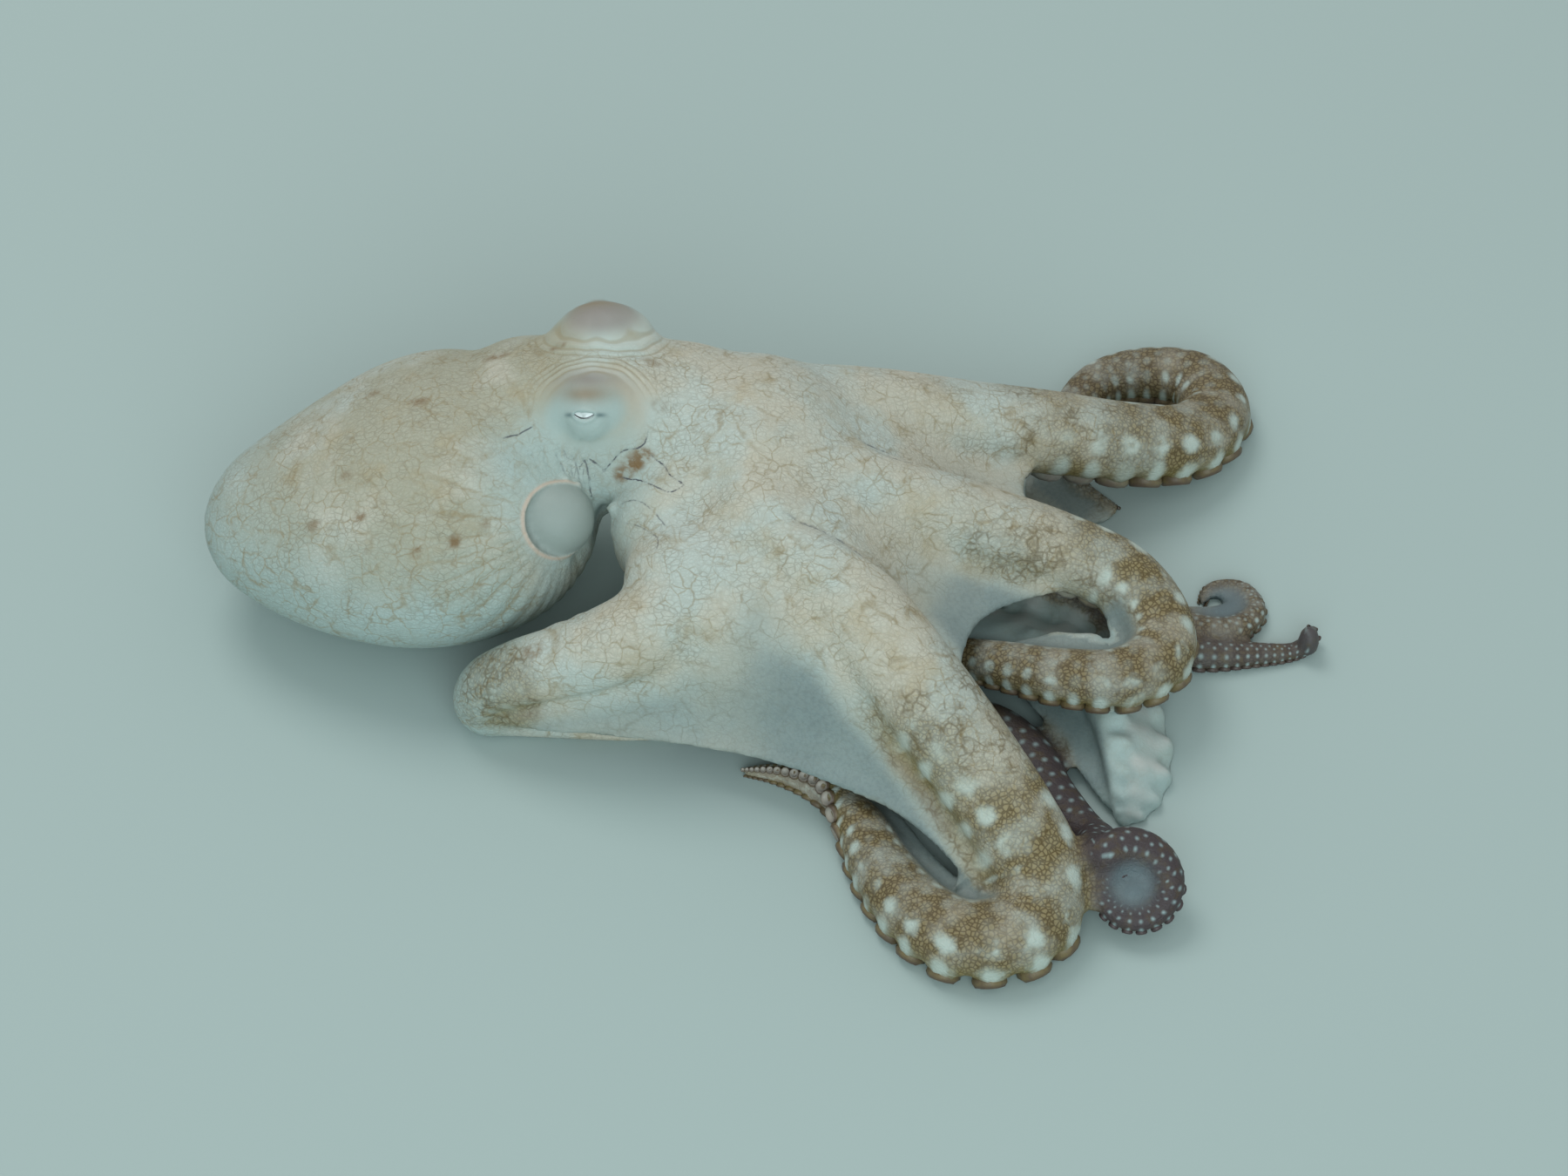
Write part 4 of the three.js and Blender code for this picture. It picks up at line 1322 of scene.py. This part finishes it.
class Paint:
    """A material's node tree, with short calls for the nodes that it uses."""

    def __init__(self, name):
        self.material = bpy.data.materials.new(name)
        self.material.use_nodes = True
        self.tree = self.material.node_tree
        self.shader = self.tree.nodes["Principled BSDF"]
        self.place = self.new("ShaderNodeTexCoord").outputs["Object"]

    def new(self, kind, **settings):
        node = self.tree.nodes.new(kind)
        for key, value in settings.items():
            setattr(node, key, value)
        return node

    def put(self, socket, value):
        if isinstance(value, bpy.types.NodeSocket):
            self.tree.links.new(value, socket)
        else:
            socket.default_value = value

    def carried(self, name, part=None):
        node = self.new("ShaderNodeAttribute", attribute_name=name)
        if part is None:
            return node.outputs["Vector"]
        split = self.new("ShaderNodeSeparateXYZ")
        self.put(split.inputs[0], node.outputs["Vector"])
        return split.outputs[part]

    def math(self, operation, *values, kind="ShaderNodeMath", output=0):
        node = self.new(kind, operation=operation)
        for socket, value in zip(node.inputs, values):
            self.put(socket, value)
        return node.outputs[output]

    def times(self, one, other):
        return self.math("MULTIPLY", one, other)

    def rest(self, share):
        return self.math("SUBTRACT", 1.0, share)

    def vector(self, operation, *values, output=0):
        return self.math(operation, *values, kind="ShaderNodeVectorMath", output=output)

    def ramp(self, value, low_edge, high_edge, to_low=0.0, to_high=1.0):
        node = self.new("ShaderNodeMapRange", interpolation_type="SMOOTHSTEP")
        for socket, number in zip(node.inputs, (value, low_edge, high_edge, to_low, to_high)):
            self.put(socket, number)
        return node.outputs[0]

    def mix(self, below, above, share):
        node = self.new("ShaderNodeMix", data_type="RGBA")
        self.put(node.inputs[0], share)
        self.put(node.inputs[6], below)
        self.put(node.inputs[7], above)
        return node.outputs[2]

    def noise(self, size, detail=3.0, where=None, output=0):
        node = self.new("ShaderNodeTexNoise")
        self.put(node.inputs["Vector"], self.place if where is None else where)
        self.put(node.inputs["Scale"], 1000 / size)
        self.put(node.inputs["Detail"], detail)
        self.put(node.inputs["Roughness"], NOISE_ROUGH)
        return node.outputs[output]

    def cells(self, size, where):
        node = self.new("ShaderNodeTexVoronoi", feature="DISTANCE_TO_EDGE")
        self.put(node.inputs["Vector"], where)
        self.put(node.inputs["Scale"], 1000 / size)
        return node.outputs["Distance"]

    def shifted(self, by, size):
        """The place on the body, moved a little by noise, so that straight lines waver."""
        wander = self.noise(size, 2, output="Color")
        return self.vector("MULTIPLY_ADD", wander, (by / 1000,) * 3, self.place)

    def stretched(self, where, by):
        """The same place, drawn out along the body, so that cells come out longer than wide."""
        return self.vector("MULTIPLY", where, (1 / by, 1.0, 1.0))

    def bump(self, height, depth, below=None):
        node = self.new("ShaderNodeBump")
        self.put(node.inputs["Strength"], 1.0)
        self.put(node.inputs["Distance"], depth / 1000)
        self.put(node.inputs["Height"], height)
        if below is not None:
            self.put(node.inputs["Normal"], below)
        return node.outputs[0]

    def finish(self, colour, normal=None, **numbers):
        """Lays the last colour and bump on the shader. Its plain numbers go on its own sockets."""
        self.put(self.shader.inputs["Base Color"], colour)
        if normal is not None:
            self.put(self.shader.inputs["Normal"], normal)
        for name, number in numbers.items():
            self.shader.inputs[name.replace("_", " ")].default_value = number
        return self.material


# %% Colours
CREAM = linear((186, 184, 168))
COOL_CREAM = linear((180, 190, 182))
MANTLE_TAN = linear((164, 164, 145))
TAN = linear((166, 150, 112))
# Tan veins, also used as painted shade in the grooves and the fold valleys.
VEIN_AND_GROOVE_SHADE = linear((140, 126, 92))
CREASE = linear((112, 104, 84))
# Painted shadow in the creases.
CREASE_SHADOW = linear((70, 72, 80))
# The webs' own blue-grey, with painted shade in it.
WEB_GREY_AND_SHADE = linear((143, 159, 154))
WEB_DARK_AND_SHADE = linear((112, 128, 128))
BROWN = linear((90, 75, 40))
GRANULE = linear((152, 138, 98))
OCHRE = linear((128, 116, 58))
RUST_EDGE = linear((104, 74, 54))
WHITE_SPOT = linear((186, 198, 188))
DARK_RED = linear((66, 58, 59))
DARK_SPOT = linear((150, 172, 172))
HEART_BLUE = linear((92, 106, 110))
RUST = linear((118, 94, 60))
EYE_PATCH = linear((136, 124, 102))
EYE_HAZE = linear((138, 136, 131))
HOOD = linear((136, 130, 124))
# The blue-green of painted shade.
COOL_SHADE_TINT = linear((158, 182, 180))
# Painted shade at the corners of the eyes.
CORNER_SHADE = linear((84, 108, 110))
SIPHON_GREY = linear((146, 158, 152))
LIP = linear((196, 172, 152))
BELLY = linear((186, 188, 182))

# %% [markdown]
# The skin's colour is glazed in this order: cream with a blue-green cast of painted shade low on the
# body, round the eyes and by the throat, tan veins with painted shade in the grooves round the opening,
# the grey of the webs with painted shade on their far and low parts, the fine net, the brown ends of
# the arms with their pale spots, and last the marks round the eyes and the opening, with painted shade
# in the folds, in the creases and at the corners of the eyes. Each row of spots has its turn from the
# arm's back, half its spots' length and width, and the two levels of a noise between which a spot comes
# in.

# %% Skin material
SPOT_ROWS = [(0.85, 0.23, 0.3, 0.34, 0.54), (1.62, 0.22, 0.38, 0.1, 0.4), (0.2, 0.18, 0.24, 0.9, 1.0)]


def cream_veins_and_shade(paint):
    colour = paint.mix(CREAM, COOL_CREAM, paint.ramp(paint.noise(30, 3), 0.4, 0.6))
    tanned = paint.times(paint.carried("place", 2), paint.ramp(paint.noise(26, 3), 0.34, 0.56))
    colour = paint.mix(colour, MANTLE_TAN, tanned)
    tan = paint.times(paint.ramp(paint.noise(12, 5), 0.5, 0.74), 0.42)
    colour = paint.mix(colour, TAN, tan)
    # Painted shade: a blue-green cast round the eyes, low on the mantle, by the throat and over the
    # flat arm.
    colour = paint.mix(colour, COOL_SHADE_TINT, paint.times(paint.carried("marks", 2), 0.78))
    veins = paint.ramp(paint.cells(13, where=paint.shifted(9, 9)), 0.0, 0.075, 1.0, 0.0)
    broken = paint.ramp(paint.noise(8, 4), 0.46, 0.68)
    plain = paint.rest(paint.carried("round_eye", 2))
    veins = paint.times(paint.times(veins, broken), paint.times(plain, 0.6))
    colour = paint.mix(colour, VEIN_AND_GROOVE_SHADE, veins)
    crackle = paint.ramp(paint.cells(4.6, where=paint.shifted(5, 7)), 0.0, 0.07, 1.0, 0.0)
    crackle = paint.times(crackle, paint.ramp(paint.noise(7, 3), 0.4, 0.62, 0.08, 0.55))
    colour = paint.mix(colour, VEIN_AND_GROOVE_SHADE, paint.times(crackle, plain))
    # Painted shade: the ray grooves round the opening are darkened.
    groove = paint.times(paint.ramp(paint.carried("ray", 0), -1.0, -0.6, 0.6, 0.0), plain)
    return paint.mix(colour, VEIN_AND_GROOVE_SHADE, paint.times(groove, paint.carried("ray", 1)))


def web_grey_and_shade(paint, colour, web):
    # The webs' own blue-grey and painted shade, darker where the web share is high.
    speckle = paint.ramp(paint.noise(1.1, 4), 0.44, 0.64)
    broad = paint.ramp(paint.noise(16, 2), 0.36, 0.64)
    broad = paint.math("MULTIPLY_ADD", broad, 0.2, paint.times(paint.ramp(web, 0.4, 1.0), 0.6))
    look = paint.mix(WEB_GREY_AND_SHADE, WEB_DARK_AND_SHADE, paint.math("MULTIPLY_ADD", speckle, 0.22, broad))
    return paint.mix(colour, look, paint.times(web, 0.92))


def net_share(paint, web):
    """How much of the net is seen: none round the eyes and in the opening, little on the webs."""
    bare = paint.math("MAXIMUM", paint.carried("round_eye", 2), paint.times(web, 0.8))
    bare = paint.math("MAXIMUM", bare, paint.carried("gate", 0))
    return paint.rest(paint.times(bare, 0.95))


def netted(paint, colour, share, net_edge, fine_edge):
    net = paint.times(paint.ramp(net_edge, 0.0, 0.13, 1.0, 0.0),
                     paint.ramp(paint.noise(9, 3), 0.36, 0.66, 0.14, 0.42))
    fine = paint.times(paint.ramp(fine_edge, 0.02, 0.16, 1.0, 0.0), 0.14)
    return paint.mix(colour, CREASE, paint.times(paint.math("MAXIMUM", net, fine), share))


def spot_rows(paint, beat, from_back, dark):
    """Soft pale spots in rows on each flank, one for every sucker. Inner rows are broken."""
    left = paint.times(paint.math("GREATER_THAN", from_back, 0.0), 0.5)
    along = paint.math("FRACT", paint.math("ADD", paint.math("ADD", beat, left), 0.5))
    along = paint.math("SUBTRACT", along, 0.5)
    along = paint.times(along, SUCKER_STEP)
    turn = paint.math("ABSOLUTE", from_back)
    night = paint.rest(dark)
    uneven = paint.math("MULTIPLY_ADD", paint.noise(4.5, 4), 1.2, -0.64)
    uneven = paint.math("MULTIPLY_ADD", uneven, night, paint.times(dark, 0.4))
    found = 0.0
    for middle, long, wide, low, high in SPOT_ROWS:
        squares = [paint.math("POWER", paint.math("DIVIDE", paint.math("ABSOLUTE", value), size), 2.0)
                   for value, size in ((along, long), (paint.math("SUBTRACT", turn, middle), wide))]
        away = paint.math("ADD", paint.math("POWER", paint.math("ADD", *squares), 0.5), uneven)
        kept = paint.ramp(paint.noise(9, 2, where=paint.shifted(10 * middle, 20)), low, high)
        kept = paint.math("MAXIMUM", kept, paint.times(dark, 0.85))
        found = paint.math("MAXIMUM", found, paint.times(paint.ramp(away, 0.3, 1.3, 1.0, 0.0), kept))
    return found


def browned(paint, colour, brown, dark, fine_edge):
    granules = paint.mix(GRANULE, BROWN, paint.ramp(fine_edge, 0.03, 0.24, 1.0, 0.25))
    along = paint.new("ShaderNodeSeparateXYZ")
    paint.put(along.inputs[0], paint.carried("arm_way"))
    whole = paint.rest(paint.carried("ray", 2))
    wave = paint.times(paint.math("SINE", paint.times(along.outputs[0], 3.3)), whole)
    bars = paint.ramp(paint.math("MULTIPLY_ADD", wave, 0.1, paint.noise(9, 4)), 0.32, 0.6)
    heavy = paint.times(brown, paint.math("MULTIPLY_ADD", bars, 0.5, 0.48))
    colour = paint.mix(colour, granules, heavy)
    turn = paint.math("ABSOLUTE", along.outputs[1])
    colour = paint.mix(colour, OCHRE, paint.times(brown, paint.ramp(turn, 1.2, 1.8, 0.0, 0.5)))
    rings = paint.ramp(paint.cells(2.8, where=paint.shifted(2.5, 5)), 0.02, 0.17, 1.0, 0.0)
    turning = paint.times(paint.ramp(brown, 0.0, 0.3), paint.ramp(brown, 0.6, 1.0, 1.0, 0.25))
    rings = paint.times(rings, paint.ramp(paint.noise(8, 3), 0.42, 0.6))
    colour = paint.mix(colour, BROWN, paint.times(paint.times(rings, turning), 0.55))
    night = paint.mix(DARK_RED, BROWN, paint.ramp(paint.noise(3, 4), 0.45, 0.8, 0.0, 0.5))
    night = paint.mix(night, HEART_BLUE, along.outputs[2])
    colour = paint.mix(colour, night, dark)
    spots = spot_rows(paint, along.outputs[0], along.outputs[1], dark)
    seen = paint.times(paint.ramp(paint.math("MAXIMUM", brown, dark), 0.35, 0.8), 0.86)
    seen = paint.times(seen, whole)
    colour = paint.mix(colour, paint.mix(WHITE_SPOT, DARK_SPOT, dark), paint.times(spots, seen))
    edge = paint.times(paint.times(brown, whole), paint.ramp(turn, 1.95, 2.2, 0.0, 0.7))
    return paint.mix(colour, RUST_EDGE, edge)


def marks_and_shade(paint, colour):
    rough_edge = paint.ramp(paint.noise(3.0, 4), 0.34, 0.54, 0.25, 1.0)
    colour = paint.mix(colour, RUST, paint.times(paint.carried("marks", 0), rough_edge))
    colour = paint.mix(colour, EYE_HAZE, paint.times(paint.carried("round_eye", 0), 0.85))
    colour = paint.mix(colour, HOOD, paint.times(paint.carried("fold", 2), 0.7))
    colour = paint.mix(colour, EYE_PATCH, paint.times(paint.carried("marks", 1), 0.9))
    # Painted shade at the corners of the eyes.
    colour = paint.mix(colour, CORNER_SHADE, paint.times(paint.carried("round_eye", 1), 0.8))
    # Painted shade: the valleys of the folds round the eye mounds are darkened.
    wave = paint.math("SINE", paint.times(paint.carried("fold", 0), 2 * math.pi / FOLD_STEP))
    valley = paint.times(paint.ramp(wave, -1.0, -0.3, 0.4, 0.0), paint.carried("fold", 1))
    colour = paint.mix(colour, VEIN_AND_GROOVE_SHADE, valley)
    # Painted shadow: a dark line along each single crease.
    waver = paint.noise(1.5, 3, output="Color")
    waver = paint.vector("MULTIPLY_ADD", waver, (2.0, 2.0, 2.0), paint.carried("crease"))
    length = paint.vector("DISTANCE", waver, (1.0, 1.0, 1.0), output="Value")
    line = paint.ramp(length, 0.3, 1.2, 1.0, 0.0)
    line = paint.times(line, paint.ramp(paint.noise(2.6, 3), 0.4, 0.56, 0.15, 1.0))
    colour = paint.mix(colour, CREASE_SHADOW, paint.times(line, paint.carried("gate", 2)))
    colour = paint.mix(colour, SIPHON_GREY, paint.carried("gate", 0))
    return paint.mix(colour, LIP, paint.times(paint.carried("gate", 1), 0.7))


def make_skin():
    paint = Paint("octopus_skin")
    brown = paint.carried("zone", 0)
    dark = paint.carried("zone", 1)
    web = paint.carried("zone", 2)
    net_edge = paint.cells(1.5, where=paint.stretched(paint.shifted(3.5, 6), 1.7))
    fine_edge = paint.cells(1.3, where=paint.shifted(1.2, 4))
    colour = cream_veins_and_shade(paint)
    colour = web_grey_and_shade(paint, colour, web)
    share = net_share(paint, web)
    colour = netted(paint, colour, share, net_edge, fine_edge)
    colour = browned(paint, colour, brown, dark, fine_edge)
    belly = paint.times(paint.carried("place", 1), paint.ramp(paint.noise(9, 2), 0.35, 0.65, 0.2, 0.75))
    colour = paint.mix(colour, BELLY, belly)
    colour = marks_and_shade(paint, colour)
    first = paint.bump(paint.times(paint.ramp(net_edge, 0.0, 0.2), share), 0.07)
    second = paint.bump(paint.times(paint.ramp(fine_edge, 0.0, 0.25), share), 0.04, first)
    last = paint.bump(paint.noise(0.8, 3), 0.05, second)
    return paint.finish(
        colour, last, Roughness=0.52, Specular_IOR_Level=0.3, Subsurface_Weight=0.12,
        Subsurface_Radius=(1.0, 0.8, 0.7), Subsurface_Scale=0.003)


def clothe(piece, material):
    piece.data.materials.clear()
    piece.data.materials.append(material)
    pick(piece)
    bpy.ops.object.shade_smooth()


clothe(skin, make_skin())
print("skin nodes:", len(skin.data.materials[0].node_tree.nodes))

# %% Sucker and eye materials
CUP_PALE = linear((184, 194, 190))
CUP_PINK = linear((172, 164, 158))
CUP_OCHRE = linear((122, 108, 68))
CUP_BROWN = linear((98, 84, 58))
CUP_RIM = linear((84, 66, 58))
CUP_DARK = linear((66, 54, 54))
CUP_HOLLOW = linear((176, 172, 164))
IRIS = linear((214, 224, 222))
IRIS_SHADE = linear((172, 184, 180))
# Painted shade at the eyeball's edge, under the lids.
EYE_EDGE_SHADE = linear((70, 74, 72))
PUPIL = linear((12, 12, 14))


def make_sucker_finish():
    paint = Paint("sucker_skin")
    patches = paint.ramp(paint.noise(4, 4), 0.4, 0.65)
    pale = paint.mix(CUP_PALE, CUP_PINK, paint.times(patches, 0.7))
    wall = paint.mix(CUP_OCHRE, CUP_BROWN, patches)
    wall = paint.mix(wall, CUP_RIM, paint.times(paint.carried("cup", 1), 0.8))
    colour = paint.mix(pale, wall, paint.carried("tone", 0))
    colour = paint.mix(colour, CUP_DARK, paint.carried("tone", 1))
    colour = paint.mix(colour, CUP_HOLLOW, paint.times(paint.carried("cup", 0), 0.7))
    return paint.finish(colour, paint.bump(paint.noise(0.5, 3), 0.08), Roughness=0.45)


def make_eye_finish():
    paint = Paint("wet_eye")
    across = paint.carried("look", 0)
    above = paint.carried("look", 1)
    arc = paint.math("MULTIPLY_ADD", paint.times(across, across), 0.15, -0.98)
    off = paint.math("ABSOLUTE", paint.math("SUBTRACT", above, arc))
    slit = paint.ramp(off, 0.14, 0.26, 1.0, 0.0)
    iris = paint.mix(IRIS, IRIS_SHADE, paint.ramp(paint.noise(1.2, 5), 0.5, 0.8))
    squares = paint.math("ADD", paint.times(across, across), paint.times(above, above))
    # Painted shade: the ball darkens from 2.6 mm off its middle, where it goes under the lids.
    iris = paint.mix(iris, EYE_EDGE_SHADE, paint.ramp(paint.math("POWER", squares, 0.5), 2.6, 3.6))
    colour = paint.mix(iris, PUPIL, slit)
    bumps = paint.bump(paint.noise(0.7, 3), 0.02)
    return paint.finish(colour, bumps, Roughness=0.18, Coat_Weight=0.6, Coat_Roughness=0.06)


sucker_finish = make_sucker_finish()
eye_finish = make_eye_finish()
for row in SUCKERS:
    clothe(row, sucker_finish)
for eyeball in EYEBALLS.values():
    clothe(eyeball, eye_finish)

# %% [markdown]
# ## Floor and light
# The floor is plain and pale. One broad soft lamp hangs behind the animal and a bluer one in front of
# it, and an even world light fills the shadows, at a level where a colour comes out about as it was
# written.

# %% Floor, lamps and world
deselect()
bpy.ops.mesh.primitive_plane_add(size=12, location=(0, 0, -0.0002))
floor = bpy.context.object
floor.name = "floor"
bpy.ops.object.transform_apply(location=True)
floor.data.materials.append(Paint("plain_floor").finish(linear((164, 181, 177)), Roughness=0.9))


def lamp(name, place, aim, size, power):
    deselect()
    way = Vector(aim) - Vector(place)
    turn = way.to_track_quat("-Z", "Y").to_euler()
    bpy.ops.object.light_add(type="AREA", location=place, rotation=turn)
    light = bpy.context.object
    light.name = name
    light.data.shape = "DISK"
    light.data.size = size
    light.data.energy = power
    return light


lamp("key_lamp", (-0.5, 0.75, 1.5), (0, 0, 0), 0.9, 9)
fill = lamp("fill_lamp", (0.1, -1.5, 0.9), (0, 0, 0.02), 1.6, 16.5)
fill.data.color = (0.8, 0.96, 1.0)
world_light = bpy.data.worlds.new("even_light")
world_light.use_nodes = True
colour, strength = world_light.node_tree.nodes["Background"].inputs[:2]
colour.default_value = (0.93, 0.98, 1.0, 1)
strength.default_value = 0.58
bpy.context.scene.world = world_light
bpy.context.scene.view_settings.view_transform = "Standard"

# %% [markdown]
# ## Each piece and what it stands for
# The skin stands for every solid of flesh, the eyeballs for the two eyes, and the suckers are added to
# the arms. An octopus has no joints, so every piece rides on the one body.

# %% Ride and replacements
flesh = [name for name in frame["nodes"] if not name.startswith("eye")]
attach(skin, "root")
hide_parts(*flesh)
for row in SUCKERS:
    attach(row, "root")
for side_name, eyeball in EYEBALLS.items():
    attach(eyeball, "root")
    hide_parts("eye_" + side_name)
